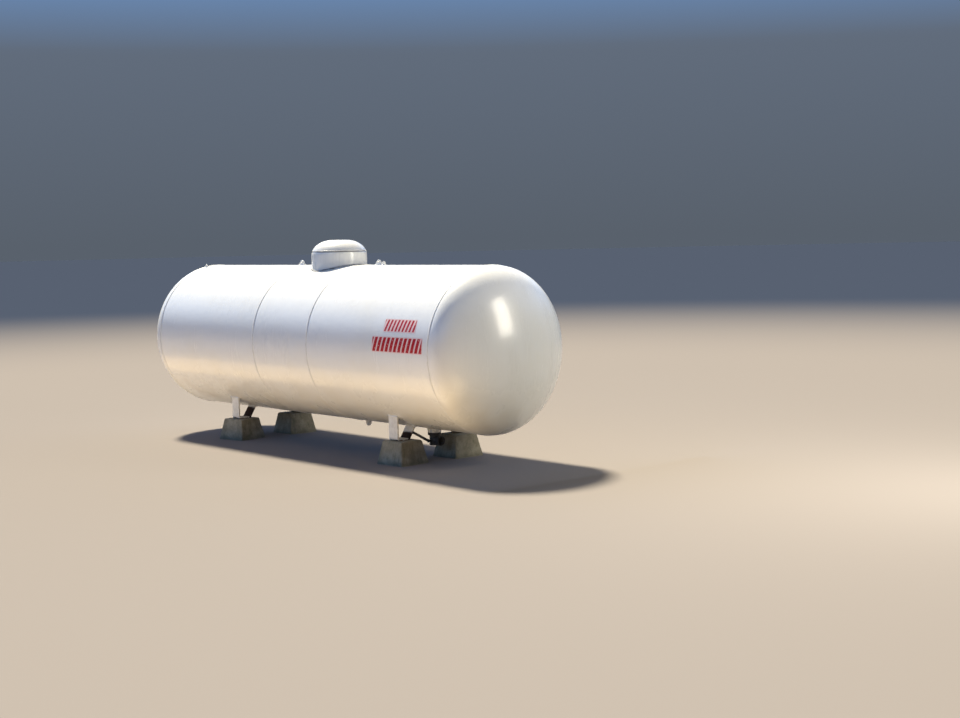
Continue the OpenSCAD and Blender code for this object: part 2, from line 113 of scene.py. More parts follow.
def objectNoise(tree, scale, detail=3.0, roughness=0.5, at=None):
    place = at or addNode(tree, "TexCoord").outputs["Object"]
    inputs = {"Vector": place, "Scale": scale, "Detail": detail, "Roughness": roughness}
    return addNode(tree, "TexNoise", inputs).outputs["Fac"]


def addRamp(tree, value, stops):
    made = addNode(tree, "ValToRGB", {"Fac": value})
    elements = made.color_ramp.elements
    for i, (share, tint) in enumerate(stops):
        if i >= len(elements):
            elements.new(share)
        elements[i].position = share
        elements[i].color = (*tint, 1)
    return made.outputs["Color"]


def newGroup(name, outputs, **inputs):
    group = bpy.data.node_groups.new(name, "ShaderNodeTree")
    for label, value in inputs.items():
        socket = group.interface.new_socket(name=label, in_out="INPUT", socket_type="NodeSocketFloat")
        socket.default_value = value
    for label, kind in outputs.items():
        group.interface.new_socket(name=label, in_out="OUTPUT", socket_type="NodeSocket" + kind)
    start = group.nodes.new("NodeGroupInput").outputs
    end = group.nodes.new("NodeGroupOutput").inputs
    return group, start, end


def useGroup(tree, group, **inputs):
    made = tree.nodes.new("ShaderNodeGroup")
    made.node_tree = group
    feed(tree, made.inputs, inputs)
    return made.outputs


# Effects that several finishes share

def makeRunMarks():
    group, start, end = newGroup("Rain run marks", {"Mask": "Float"},
                                 Scale=14.0, Stretch=0.06, Low=0.5, High=0.75)
    parts = axes(group)
    drawn = times(group, parts["Z"], start["Stretch"])
    joined = addNode(group, "CombineXYZ", {"X": parts["X"], "Y": parts["Y"], "Z": drawn}).outputs[0]
    coarse = objectNoise(group, start["Scale"], 5.0, 0.62, at=joined)
    broken = remap(group, objectNoise(group, 2.3, 2.0), 0.3, 0.7, 0.86, 1.1)
    marks = remap(group, times(group, coarse, broken), start["Low"], start["High"])
    feed(group, end, {"Mask": marks})
    return group


def makeSettledDust():
    group, start, end = newGroup("Settled dust", {"Mask": "Float"}, Amount=0.5, Scale=9.0)
    normal = addNode(group, "TexCoord").outputs["Normal"]
    facing = addNode(group, "SeparateXYZ", {"Vector": normal}).outputs["Z"]
    spread = remap(group, objectNoise(group, start["Scale"], 6.0, 0.6), 0.38, 0.68)
    both = times(group, remap(group, facing, 0.35, 0.95), spread)
    feed(group, end, {"Mask": times(group, both, start["Amount"], clamp=True)})
    return group


def makeEdgeWear():
    group, start, end = newGroup("Edge wear", {"Mask": "Float"}, Radius=0.003, Amount=0.6, Scale=60.0)
    rounded = addNode(group, "Bevel", {"Radius": start["Radius"]}, samples=4).outputs[0]
    flat = addNode(group, "NewGeometry").outputs["Normal"]
    alike = addNode(group, "VectorMath", {0: rounded, 1: flat}, operation="DOT_PRODUCT").outputs["Value"]
    chipped = remap(group, objectNoise(group, start["Scale"], 5.0, 0.65), 0.42, 0.58)
    both = times(group, remap(group, alike, 0.995, 0.9), chipped)
    feed(group, end, {"Mask": times(group, both, start["Amount"], clamp=True)})
    return group


# From thin young rust to deep old rust
rustTones = ((0.0, (0.33, 0.125, 0.04)), (0.5, (0.115, 0.042, 0.018)), (1.0, (0.022, 0.012, 0.009)))


def makeRust():
    outputs = {"Colour": "Color", "Mask": "Float", "Height": "Float"}
    group, start, end = newGroup("Rust", outputs, Amount=0.5, Scale=30.0)
    patch = objectNoise(group, start["Scale"], 8.0, 0.65)
    grain = objectNoise(group, 420.0)
    spread = remap(group, patch, 0.25, 0.75, curve="LINEAR")
    edge = less(group, spread, less(group, 1.05, start["Amount"]))
    mask = remap(group, edge, -0.05, 0.06)
    deep = plus(group, times(group, remap(group, edge, 0.0, 0.35), 0.6), times(group, grain, 0.4))
    feed(group, end, {"Colour": addRamp(group, deep, rustTones), "Mask": mask,
                      "Height": times(group, mask, plus(group, grain, patch))})
    return group


runMarks = makeRunMarks()
settledDust = makeSettledDust()
edgeWear = makeEdgeWear()
rust = makeRust()


def newMaterial(name, **constants):
    material = bpy.data.materials.new(name)
    material.use_nodes = True
    tree = material.node_tree
    for key, value in constants.items():
        tree.nodes["Principled BSDF"].inputs[key.replace("_", " ")].default_value = value
    return material, tree


def dress(material, feeds, height, distance=1.0):
    tree = material.node_tree
    bump = addNode(tree, "Bump", {"Height": height, "Distance": distance})
    feeds["Normal"] = bump.outputs["Normal"]
    feed(tree, tree.nodes["Principled BSDF"].inputs, feeds)
    return material


# Finishes

paintLook = {
    "white": (0.82, 0.825, 0.83, 1),      # clean enamel
    "cream": (0.79, 0.775, 0.73, 1),      # sun-aged patches
    "grime": (0.36, 0.34, 0.31, 1),       # rain runs
    "dust": (0.55, 0.47, 0.36, 1),        # road dust low on the belly
    "gapShade": (0.06, 0.06, 0.066, 1),    # painted shade in narrow gaps: under the lid's rolled edge and along the hood's foot
    "gloss": 0.27,
    "dull": 0.5,
    "worn": 0.62,                         # roughness where the hood is worn
    "coat": 0.35,
    "runs": 0.12,                         # strength of the broad and of the fine rain runs
    "fineRuns": 0.07,
    "hoodRuns": 0.2,
    "runsLeft": 0.04,                     # what is left of the runs under the belly
    "bellyDust": 0.42,
    "stepShade": 0.65,                     # painted shade under the lid's rolled edge
    "peel": 0.00012,                      # relief of sprayed enamel
    "ripple": 0.0011,
}


def makeTankPaint():
    look = paintLook
    material, tree = newMaterial("Tank enamel", IOR=1.5, Coat_Roughness=0.12, Coat_IOR=1.5)
    parts = axes(tree)
    mottle = objectNoise(tree, 1.7, 5.0, 0.6)
    aged = mixColour(tree, remap(tree, mottle, 0.42, 0.72, 0.0, 0.55), look["white"], look["cream"])
    runs = useGroup(tree, runMarks, Scale=16.0, Stretch=0.045, Low=0.5, High=0.8)["Mask"]
    fine = useGroup(tree, runMarks, Scale=70.0, Stretch=0.03, Low=0.52, High=0.82)["Mask"]
    streak = plus(tree, times(tree, runs, look["runs"]), times(tree, fine, look["fineRuns"]))
    # Rain drips off before it gets under the belly
    streak = times(tree, streak, remap(tree, parts["Z"], axisZ - 0.4, axisZ - 0.12, look["runsLeft"], 1.0))
    # A thin dirty line along each side of the four girth welds
    across = math2(tree, "ABSOLUTE", parts["X"])
    toWeld = math2(tree, "MINIMUM", gapTo(tree, across, midX), gapTo(tree, across, weldX))
    patchy = remap(tree, objectNoise(tree, 26.0, 5.0, 0.7), 0.3, 0.62, 0.35, 1.0)
    higher = remap(tree, parts["Z"], axisZ - 0.3, axisZ + 0.1, 0.07, 0.2)
    weldDirt = times(tree, times(tree, remap(tree, toWeld, 0.016, 0.0065), patchy), higher)
    dirty = plus(tree, streak, weldDirt, clamp=True)
    soiled = mixColour(tree, dirty, aged, look["grime"])
    low = remap(tree, parts["Z"], axisZ - 0.12, bellyZ, 0.0, look["bellyDust"])
    belly = times(tree, low, remap(tree, objectNoise(tree, 5.0, 4.0, 0.55), 0.3, 0.8))
    dusty = mixColour(tree, belly, soiled, look["dust"])
    settled = useGroup(tree, settledDust, Amount=0.16, Scale=5.0)["Mask"]
    matte = plus(tree, plus(tree, dirty, belly), settled, clamp=True)
    height = plus(tree, times(tree, objectNoise(tree, 190.0, 2.0), look["peel"]),
                  times(tree, objectNoise(tree, 11.0, 2.0), look["ripple"]))
    return dress(material, {"Base Color": mixColour(tree, settled, dusty, look["dust"]),
                            "Roughness": remap(tree, matte, 0.0, 0.5, look["gloss"], look["dull"]),
                            "Coat Weight": remap(tree, matte, 0.0, 0.4, look["coat"], 0.0)}, height)


def makeWeldPaint(name, soilAndShade, least, most):
    material, tree = newMaterial(name, IOR=1.5)
    # The tint mixed in is real dirt on the girth welds and painted contact shade on the hood's foot bead
    grime = remap(tree, objectNoise(tree, 34.0, 6.0, 0.7), 0.35, 0.7, least, most)
    return dress(material, {"Base Color": mixColour(tree, grime, paintLook["white"], soilAndShade),
                            "Roughness": remap(tree, grime, 0.0, most, 0.34, 0.56)},
                 objectNoise(tree, 520.0, 3.0, 0.6), 0.0004)


def makeHoodPaint():
    look = paintLook
    material, tree = newMaterial("Hood enamel", IOR=1.5, Coat_Roughness=0.14, Coat_IOR=1.5)
    mottle = objectNoise(tree, 6.0, 5.0, 0.6)
    aged = mixColour(tree, remap(tree, mottle, 0.4, 0.7, 0.0, 0.5), look["white"], look["cream"])
    runs = useGroup(tree, runMarks, Scale=60.0, Stretch=0.08, Low=0.52, High=0.82)["Mask"]
    soiled = mixColour(tree, times(tree, runs, look["hoodRuns"]), aged, look["grime"])
    settled = useGroup(tree, settledDust, Amount=0.3, Scale=26.0)["Mask"]
    dusty = mixColour(tree, settled, soiled, look["dust"])
    worn = useGroup(tree, edgeWear, Radius=0.003, Amount=0.3, Scale=75.0)["Mask"]
    rusty = useGroup(tree, rust, Amount=0.62, Scale=90.0)
    # Painted shade on the narrow step under the lid's rolled edge
    toStep = gapTo(tree, axes(tree)["Z"], lidLow.z - 0.0035)
    stepShade = remap(tree, toStep, 0.0065, 0.002, 0.0, look["stepShade"])
    stepShaded = mixColour(tree, stepShade, dusty, look["gapShade"])
    matte = plus(tree, settled, worn, clamp=True)
    height = less(tree, times(tree, objectNoise(tree, 260.0, 2.0), look["peel"]), times(tree, worn, 0.0002))
    return dress(material, {"Base Color": mixColour(tree, worn, stepShaded, rusty["Colour"]),
                            "Roughness": remap(tree, matte, 0.0, 0.6, look["gloss"], look["worn"]),
                            "Coat Weight": remap(tree, matte, 0.0, 0.4, look["coat"], 0.0)}, height)


legLook = {
    "paint": (0.9, 0.86, 0.77, 1),
    "thin": (0.42, 0.38, 0.33, 1),        # where the primer shows through
    "lowBlack": (0.008, 0.005, 0.004, 1),      # near-black colour low on the inner arm
    "footRust": 0.014,                    # how far rust climbs from the block, metres
    "innerWithin": 0.2535,                # the inner arm lies nearer the centre plane than this
    "lowBlackTop": 0.077,                      # how high the black reaches, with a little for its ragged edge
    "lowBlackTopLeft": 0.028,                  # how much higher it reaches on the left pair
}


def makeLegPaint():
    look = legLook
    material, tree = newMaterial("Leg paint", IOR=1.48, Specular_IOR_Level=0.3)
    parts = axes(tree)
    mottle = objectNoise(tree, 22.0, 6.0, 0.65)
    paint = mixColour(tree, remap(tree, mottle, 0.35, 0.75, 0.0, 0.35), look["paint"], look["thin"])
    up = less(tree, parts["Z"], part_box("leg_front_right")[0].z)
    climb = remap(tree, up, look["footRust"], 0.0, 0.0, 0.55)
    corners = useGroup(tree, edgeWear, Radius=0.0035, Amount=0.5, Scale=80.0)["Mask"]
    rusty = useGroup(tree, rust, Amount=plus(tree, plus(tree, climb, corners), 0.12), Scale=34.0)
    painted = mixColour(tree, rusty["Mask"], paint, rusty["Colour"])
    # The inner arm leans in from the block; its lower half is coloured near black
    inwards = math2(tree, "ABSOLUTE", parts["Y"])
    innerSide = remap(tree, inwards, look["innerWithin"], look["innerWithin"] - 0.013)
    ragged = plus(tree, up, times(tree, mottle, 0.05))
    reach = remap(tree, parts["X"], 0.1, -0.1, look["lowBlackTop"], look["lowBlackTop"] + look["lowBlackTopLeft"])
    lowBlackMask = times(tree, innerSide, remap(tree, less(tree, ragged, reach), 0.009, -0.009))
    lowBlack = mixColour(tree, 0.1, look["lowBlack"], rusty["Colour"])
    rough = plus(tree, rusty["Mask"], lowBlackMask, clamp=True)
    grain = objectNoise(tree, 240.0, 3.0, 0.6)
    height = plus(tree, times(tree, rusty["Height"], 0.0009), times(tree, grain, 0.0002))
    return dress(material, {"Base Color": mixColour(tree, lowBlackMask, painted, lowBlack),
                            "Roughness": remap(tree, rough, 0.0, 1.0, 0.42, 0.82)}, height)


concreteLook = {
    "base": (0.28, 0.25, 0.178, 1),
    "pale": (0.44, 0.4, 0.305, 1),
    "damp": (0.118, 0.11, 0.078, 1),
    "moss": (0.11, 0.12, 0.06, 1),
    "dampTop": 0.075,                     # how far damp climbs from the ground, metres
    "stains": 0.55,
    "pores": 0.0012,
    "sand": 0.0009,
}


def makeConcrete():
    look = concreteLook
    material, tree = newMaterial("Precast concrete", IOR=1.5, Specular_IOR_Level=0.3)
    clouds = objectNoise(tree, 11.0, 7.0, 0.65)
    sand = objectNoise(tree, 380.0, 3.0, 0.7)
    tone = mixColour(tree, remap(tree, clouds, 0.35, 0.7), look["base"], look["pale"])
    specks = mixColour(tree, remap(tree, sand, 0.35, 0.65, 0.0, 0.4), tone, look["damp"])
    streaks = useGroup(tree, runMarks, Scale=34.0, Stretch=0.2, Low=0.5, High=0.78)["Mask"]
    stained = mixColour(tree, times(tree, streaks, look["stains"]), specks, look["damp"])
    uneven = plus(tree, axes(tree)["Z"], times(tree, clouds, 0.05))
    rising = remap(tree, uneven, look["dampTop"], 0.02)
    wet = mixColour(tree, times(tree, rising, 0.65), stained, look["damp"])
    growth = remap(tree, objectNoise(tree, 19.0, 8.0, 0.72), 0.52, 0.7, 0.0, 0.55)
    mossy = mixColour(tree, growth, wet, look["moss"])
    worn = useGroup(tree, edgeWear, Radius=0.006, Amount=0.8, Scale=45.0)["Mask"]
    place = addNode(tree, "TexCoord").outputs["Object"]
    pore = addNode(tree, "TexVoronoi", {"Vector": place, "Scale": 130.0}).outputs["Distance"]
    hole = remap(tree, pore, 0.12, 0.28)
    height = plus(tree, times(tree, hole, look["pores"]), times(tree, sand, look["sand"]))
    return dress(material, {"Base Color": mixColour(tree, times(tree, worn, 0.6), mossy, look["pale"]),
                            "Roughness": remap(tree, clouds, 0.3, 0.7, 0.86, 0.97)}, height)


bareMetal = (0.9, 0.88, 0.82, 1)
airDust = (0.42, 0.37, 0.3, 1)


def makeMetal(name, colour, dark, rough, wear=0.4, metal=1.0, tarnish=0.5):
    material, tree = newMaterial(name, IOR=1.5, Metallic=metal)
    fine = objectNoise(tree, 300.0, 4.0, 0.6)
    stain = remap(tree, objectNoise(tree, 45.0, 6.0, 0.65), 0.38, 0.68, 0.0, tarnish)
    worn = useGroup(tree, edgeWear, Radius=0.0012, Amount=wear, Scale=140.0)["Mask"]
    spread = plus(tree, stain, times(tree, fine, 0.4))
    feeds = {"Base Color": mixColour(tree, worn, mixColour(tree, stain, colour, dark),
                                     mixColour(tree, 0.5, colour, bareMetal)),
             "Roughness": remap(tree, spread, 0.0, 0.9, rough - 0.08, rough + 0.22)}
    if metal < 1:
        feeds["Metallic"] = remap(tree, worn, 0.0, 1.0, metal, 1.0, curve="LINEAR")
    return dress(material, feeds, fine, 0.00025)


def makePlastic(name, colour, faded, rough):
    material, tree = newMaterial(name, IOR=1.46)
    patch = objectNoise(tree, 40.0, 5.0, 0.6)
    toned = mixColour(tree, remap(tree, patch, 0.35, 0.7), colour, faded)
    dust = useGroup(tree, settledDust, Amount=0.45, Scale=60.0)["Mask"]
    return dress(material, {"Base Color": mixColour(tree, dust, toned, airDust),
                            "Roughness": remap(tree, plus(tree, patch, dust), 0.3, 1.1, rough, rough + 0.3)},
                 objectNoise(tree, 600.0, 2.0), 0.0002)


def makeGlass():
    material, tree = newMaterial("Dial glass", IOR=1.49, Metallic=0.0, Transmission_Weight=1.0)
    rough = remap(tree, objectNoise(tree, 240.0, 5.0, 0.6), 0.35, 0.8, 0.03, 0.2)
    feed(tree, tree.nodes["Principled BSDF"].inputs, {"Roughness": rough})
    return material


markLook = {
    "film": (0.82, 0.60, 0.60, 1),
    "soiled": (0.55, 0.52, 0.5, 1),
    "bar": (0.46, 0.003, 0.01, 1),
    "faded": (0.46, 0.06, 0.07, 1),
    "bleach": 0.2,
    "grime": 0.35,
    "border": 0.006,                      # plain edge round the bars, metres
    "slant": 0.3,                         # sideways lean of a bar for each metre up
    "soft": 0.0006,                       # how blurred a bar's edge is, metres
}


# Bars are drawn in the film's own flat coordinates: U along the tank and V up it, both in metres
def makeMarking(name, length, tall, pitch, share):
    look = markLook
    material, tree = newMaterial(name, IOR=1.46, Specular_IOR_Level=0.25)
    flat = addNode(tree, "SeparateXYZ", {"Vector": addNode(tree, "UVMap").outputs["UV"]}).outputs
    leaned = less(tree, flat["X"], times(tree, flat["Y"], look["slant"]))
    wobble = times(tree, objectNoise(tree, 140.0, 4.0, 0.7), 0.0022)
    turns = math2(tree, "DIVIDE", plus(tree, leaned, wobble), pitch)
    fromMiddle = gapTo(tree, math2(tree, "FRACT", turns), 0.5)
    soft = look["soft"] / pitch
    bars = remap(tree, fromMiddle, share / 2 + soft, share / 2 - soft)
    rimX = math2(tree, "MINIMUM", flat["X"], less(tree, length, flat["X"]))
    rimY = math2(tree, "MINIMUM", flat["Y"], less(tree, tall, flat["Y"]))
    inside = remap(tree, math2(tree, "MINIMUM", rimX, rimY), look["border"], look["border"] + 0.0008)
    kept = remap(tree, objectNoise(tree, 95.0, 8.0, 0.75), 0.36, 0.42)
    ink = times(tree, times(tree, bars, inside), kept)
    bleached = remap(tree, objectNoise(tree, 8.0, 6.0, 0.65), 0.42, 0.75, 0.0, look["bleach"])
    grimy = remap(tree, objectNoise(tree, 30.0, 7.0, 0.7), 0.45, 0.8, 0.0, look["grime"])
    film = mixColour(tree, grimy, look["film"], look["soiled"])
    red = mixColour(tree, bleached, look["bar"], look["faded"])
    height = plus(tree, times(tree, objectNoise(tree, 60.0, 4.0, 0.6), 0.0003), times(tree, ink, 0.00008))
    matte = remap(tree, plus(tree, grimy, bleached), 0.0, 0.8, 0.3, 0.6)
    return dress(material, {"Base Color": mixColour(tree, ink, film, red), "Roughness": matte}, height)


tankPaint = makeTankPaint()
weldPaint = makeWeldPaint("Painted weld", paintLook["grime"], 0.03, 0.28)
# The bead round the hood's foot is coloured near black: a painted contact shadow along the foot
footWeldShade = makeWeldPaint("Hood foot weld", paintLook["gapShade"], 0.5, 0.97)
hoodPaint = makeHoodPaint()
zincSteel = makeMetal("Zinc plated steel", (0.62, 0.62, 0.6, 1), (0.3, 0.29, 0.27, 1), 0.4)
dialInk = makePlastic("Dial ink", (0.02, 0.02, 0.022, 1), (0.04, 0.04, 0.04, 1), 0.5)
dialGlass = makeGlass()

# The usual finish of each slot
finishes = {
    "tank_paint": tankPaint,
    "leg_paint": makeLegPaint(),
    "concrete": makeConcrete(),
    "pin_steel": zincSteel,
    "gauge_metal": zincSteel,
    "valve_brass": makeMetal("Valve brass", (0.72, 0.49, 0.2, 1), (0.3, 0.19, 0.08, 1), 0.34),
    "yellow_cap": makePlastic("Yellow cap plastic", (0.85, 0.56, 0.03, 1), (0.72, 0.52, 0.14, 1), 0.42),
    "dial_face": makePlastic("Dial face", (0.8, 0.8, 0.77, 1), (0.7, 0.68, 0.6, 1), 0.35),
    "wheel_paint": makeMetal("Handwheel enamel", (0.42, 0.03, 0.02, 1), (0.2, 0.02, 0.015, 1), 0.33,
                             wear=0.5, metal=0.05),
    "valve_iron": makeMetal("Cast iron", (0.07, 0.068, 0.066, 1), (0.028, 0.022, 0.018, 1), 0.6,
                            wear=0.3, metal=0.25),
    "lever_steel": makeMetal("Black lever paint", (0.018, 0.017, 0.017, 1), (0.05, 0.035, 0.025, 1), 0.42,
                             wear=0.55, metal=0.1, tarnish=0.35),
}
print("finishes ready:", len(bpy.data.materials))


# Small helpers for pieces

def addObject(bm, name, material):
    mesh = bpy.data.meshes.new(name)
    bm.to_mesh(mesh)
    bm.free()
    mesh.materials.append(material)
    made = bpy.data.objects.new(name, mesh)
    bpy.context.scene.collection.objects.link(made)
    return made


def finishPiece(bm, name, slot, replaces=(), material=None, body="tank", sharp=35):
    bmesh.ops.recalc_face_normals(bm, faces=bm.faces[:])
    piece = addObject(bm, name, material or finishes[slot])
    piece.data.shade_smooth()
    piece.data.set_sharp_from_angle(angle=math.radians(sharp))
    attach(piece, body)
    if replaces:
        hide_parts(*replaces)


def chain(bm, points, closed=False):
    verts = [bm.verts.new(point) for point in points]
    pairs = list(zip(verts, verts[1:]))
    if closed:
        pairs.append((verts[-1], verts[0]))
    return verts + [bm.edges.new(pair) for pair in pairs]


def merge(bm, dist=1e-6):
    bmesh.ops.remove_doubles(bm, verts=bm.verts[:], dist=dist)


def spinOutline(points, centre, axis, steps, closed=True):
    bm = bmesh.new()
    geom = chain(bm, points, closed)
    bmesh.ops.spin(bm, geom=geom, cent=centre, axis=axis, angle=fullTurn, steps=steps, use_merge=True)
    merge(bm)
    return bm


# A very fine spin is quick when one sector is spun and then copied round
def spinSectors(points, centre, axis, steps, sectors):
    bm = bmesh.new()
    geom = chain(bm, points, closed=True)
    bmesh.ops.spin(bm, geom=geom, cent=centre, axis=axis, angle=fullTurn / sectors, steps=steps // sectors)
    sector = bm.verts[:] + bm.edges[:] + bm.faces[:]
    for i in range(1, sectors):
        copied = bmesh.ops.duplicate(bm, geom=sector)["geom"]
        verts = [item for item in copied if isinstance(item, bmesh.types.BMVert)]
        turn = Matrix.Rotation(fullTurn * i / sectors, 3, axis)
        bmesh.ops.rotate(bm, verts=verts, cent=centre, matrix=turn)
    merge(bm)
    return bm


# Profile points are a distance from the axis and a height
def turned(profile, x, y, steps=72):
    points = [(x + r, y, z) for r, z in profile]
    return spinOutline(points, (x, y, 0), (0, 0, 1), steps, closed=False)


def hexPrism(bm, wide, low, high, x, y, edge=0.0009):
    place = Matrix.Translation((x, y, (low + high) / 2)) @ Matrix.Rotation(math.radians(30), 4, "Z")
    r = wide / math.sqrt(3)
    made = bmesh.ops.create_cone(bm, cap_ends=True, segments=6, radius1=r, radius2=r,
                                 depth=high - low, matrix=place)
    edges = {item for vert in made["verts"] for item in vert.link_edges}
    bmesh.ops.bevel(bm, geom=list(edges), offset=edge, offset_type="OFFSET", segments=2,
                    profile=0.5, affect="EDGES", material=-1)


def moveTo(bm, place, degrees=0.0, axis="X"):
    turn = Matrix.Rotation(math.radians(degrees), 3, axis)
    bmesh.ops.rotate(bm, verts=bm.verts[:], cent=(0, 0, 0), matrix=turn)
    bmesh.ops.translate(bm, verts=bm.verts[:], vec=place)


def joinInto(target, other):
    mesh = bpy.data.meshes.new("spare")
    other.to_mesh(mesh)
    other.free()
    target.from_mesh(mesh)
    bpy.data.meshes.remove(mesh)


def fromCurve(curve):
    holder = bpy.data.objects.new(curve.name, curve)
    mesh = bpy.data.meshes.new_from_object(holder)
    bpy.data.objects.remove(holder)
    bm = bmesh.new()
    bm.from_mesh(mesh)
    bpy.data.meshes.remove(mesh)
    return bm


def addLoop(curve, points):
    spline = curve.splines.new("POLY")
    spline.points.add(len(points) - 1)
    spline.use_cyclic_u = True
    for i, point in enumerate(points):
        spline.points[i].co = (*point, 1)
    return spline


def spaced(low, high, gap):
    count = max(1, round(abs(high - low) / gap))
    return [low + (high - low) * i / count for i in range(count + 1)]


def arcPoints(x, y, r, low, high, count):
    turns = [math.radians(low + (high - low) * i / count) for i in range(count + 1)]
    return [(x + r * math.cos(turn), y + r * math.sin(turn)) for turn in turns]


def ringPath(x, y, r, count=160):
    turns = [fullTurn * i / count for i in range(count)]
    return [(x + r * math.cos(turn), y + r * math.sin(turn)) for turn in turns]


def boxPath(lowX, highX, lowY, highY, gap=0.0016):
    corners = [(lowX, lowY), (highX, lowY), (highX, highY), (lowX, highY)]
    path = []
    for (x1, y1), (x2, y2) in zip(corners, corners[1:] + corners[:1]):
        count = max(2, round(math.hypot(x2 - x1, y2 - y1) / gap))
        path += [(x1 + (x2 - x1) * i / count, y1 + (y2 - y1) * i / count) for i in range(count)]
    return path


def onShell(x, y, lift=0.0):
    return Vector((x, y, axisZ + math.sqrt((tankR + lift) ** 2 - y * y)))


def underShell(x, y, drop=0.0):
    return Vector((x, y, axisZ - math.sqrt((tankR + drop) ** 2 - y * y)))


# Shell plates: rolled courses that pull in a little beside their welds

plate = {
    "around": 192,
    "ringGap": 0.03,
    "thickness": 0.008,
    "headThickness": 0.007,
    "headSkirt": 0.012,      # straight part of a head before its curve
    "headRings": 44,
    "wander": 0.0009,        # how far the rolled plate strays inwards
    "wanderSize": 0.38,
    "weldPull": 0.0011,      # dip of the plate beside a girth weld
    "pullWidth": 0.028,
}


def plateDip(point):
    wander = 0.5 + 0.5 * noise.noise(point / plate["wanderSize"])
    nearest = min(abs(abs(point.x) - midX), abs(abs(point.x) - weldX))
    pull = math.exp(-(nearest / plate["pullWidth"]) ** 2)
    return plate["wander"] * wander * (1 - pull) + plate["weldPull"] * pull


def rollPlate(name, node, points, thickness, closed):
    bm = spinOutline(points, (0, 0, axisZ), (1, 0, 0), plate["around"], closed)
    for vert in bm.verts:
        outward = Vector((0, vert.co.y, vert.co.z - axisZ))
        if outward.length > tankR - thickness / 2:
            vert.co -= outward.normalized() * plateDip(vert.co)
    finishPiece(bm, name, "tank_paint", [node])


def makeCourse(name, node, lowX, highX):
    points = [(x, 0, axisZ + tankR) for x in spaced(lowX, highX, plate["ringGap"])]
    points += [(x, 0, axisZ + tankR - plate["thickness"]) for x in spaced(highX, lowX, 0.4)]
    rollPlate(name, node, points, plate["thickness"], closed=True)


def makeHead(name, node, side):
    wall = plate["headThickness"]
    rings = plate["headRings"]
    start = weldX + plate["headSkirt"]

    def arc(shrink, turns):
        quarter = [math.pi / 2 * i / rings for i in turns]
        return [(side * (start + (tipX - start - shrink) * math.sin(a)), 0,
                 axisZ + (tankR - shrink) * math.cos(a)) for a in quarter]

    rim = [(side * weldX, 0, axisZ + tankR), (side * weldX, 0, axisZ + tankR - wall)]
    points = arc(0.0, range(rings, -1, -1)) + rim + arc(wall, range(0, rings + 1, 2))
    rollPlate(name, node, points, wall, closed=False)


makeCourse("shellPlateLeft", "shell_left", -weldX, -midX)
makeCourse("shellPlateMiddle", "shell_middle", -midX, midX)
makeCourse("shellPlateRight", "shell_right", midX, weldX)
makeHead("dishedHeadLeft", "head_left", -1)
makeHead("dishedHeadRight", "head_right", 1)
print("shell plates rolled")


# Two bands of plain bars near the right end of the front, on thin film that follows the plate

marking = {
    # Lower left and upper right corner: distance from the middle, and degrees above the side
    "upperBand": ((1.262, 14.2), (1.612, 23.4)),
    "lowerBand": ((1.150, 0.4), (1.702, 11.2)),
    "upperBars": (0.038, 0.52),           # pitch, and the bar's share of it
    "lowerBars": (0.046, 0.66),
    "cell": 0.006,
    "corner": 0.012,
    "film": 0.0003,
    "lift": 0.0001,
}


def makeBand(name, bars):
    (lowX, lowTurn), (highX, highTurn) = marking[name]
    length = highX - lowX
    tall = math.radians(highTurn - lowTurn) * tankR
    r = marking["corner"]
    bm = bmesh.new()
    uvLayer = bm.loops.layers.uv.new("UVMap")
    fit = Matrix.Translation((length / 2, tall / 2, 0)) @ Matrix.Diagonal((length / 2, tall / 2, 1, 1))
    across = round(length / marking["cell"])
    up = round(tall / marking["cell"])
    bmesh.ops.create_grid(bm, x_segments=across, y_segments=up, size=1.0, matrix=fit)
    for vert in bm.verts:
        centre = Vector((min(max(vert.co.x, r), length - r), min(max(vert.co.y, r), tall - r), 0))
        offset = vert.co - centre
        if offset.length > r:
            vert.co = centre + offset.normalized() * r
    for face in bm.faces:
        for loop in face.loops:
            loop[uvLayer].uv = loop.vert.co.xy
    bmesh.ops.solidify(bm, geom=bm.faces[:], thickness=marking["film"])
    top = max(vert.co.z for vert in bm.verts)
    for vert in bm.verts:
        turn = math.radians(lowTurn) + vert.co.y / tankR
        out = Vector((0, -math.cos(turn), math.sin(turn)))
        face = Vector((lowX + vert.co.x, 0, axisZ)) + out * tankR
        depth = top - vert.co.z
        vert.co = face + out * (marking["film"] + marking["lift"] - depth - plateDip(face))
    material = makeMarking(name + "Film", length, tall, *marking[bars])
    finishPiece(bm, name, "tank_paint", material=material)


makeBand("upperBand", "upperBars")
makeBand("lowerBand", "lowerBars")
print("marking bands laid")


# Girth welds: a low bead with crescent ripples

girthBead = {
    "width": 0.0155,
    "around": 1536,
    "sectors": 32,
    "ripples": 384,
    "across": 8,
    "ripple": 0.00035,
    "sunk": 0.0025,
    "drift": 0.0009,         # how far the bead wanders sideways
}


def makeGirthBead(name, node, x):
    look = girthBead
    half = look["width"] / 2
    foot = tankR - look["sunk"]
    crest = beadTop - look["ripple"] + look["sunk"]
    rows = [i / look["across"] * 2 - 1 for i in range(look["across"] + 1)]
    points = [(x + half * u, 0, axisZ + foot + crest * math.sqrt(1 - 0.96 * u * u)) for u in rows]
    points += [(x + half, 0, axisZ + foot - look["sunk"]), (x - half, 0, axisZ + foot - look["sunk"])]
    bm = spinSectors(points, (0, 0, axisZ), (1, 0, 0), look["around"], look["sectors"])
    for vert in bm.verts:
        outward = Vector((0, vert.co.y, vert.co.z - axisZ))
        if outward.length < foot - look["sunk"] / 2:
            continue
        u = (vert.co.x - x) / half
        turn = math.atan2(outward.y, outward.z)
        wave = math.sin(look["ripples"] * turn + 3.2 * u * u)
        vert.co += outward.normalized() * look["ripple"] * wave * (1 - u * u)
        vert.co.x += noise.noise(Vector((x * 7, turn * 9, 0))) * math.copysign(look["drift"], x)
    finishPiece(bm, name, "tank_paint", [node], weldPaint, sharp=70)


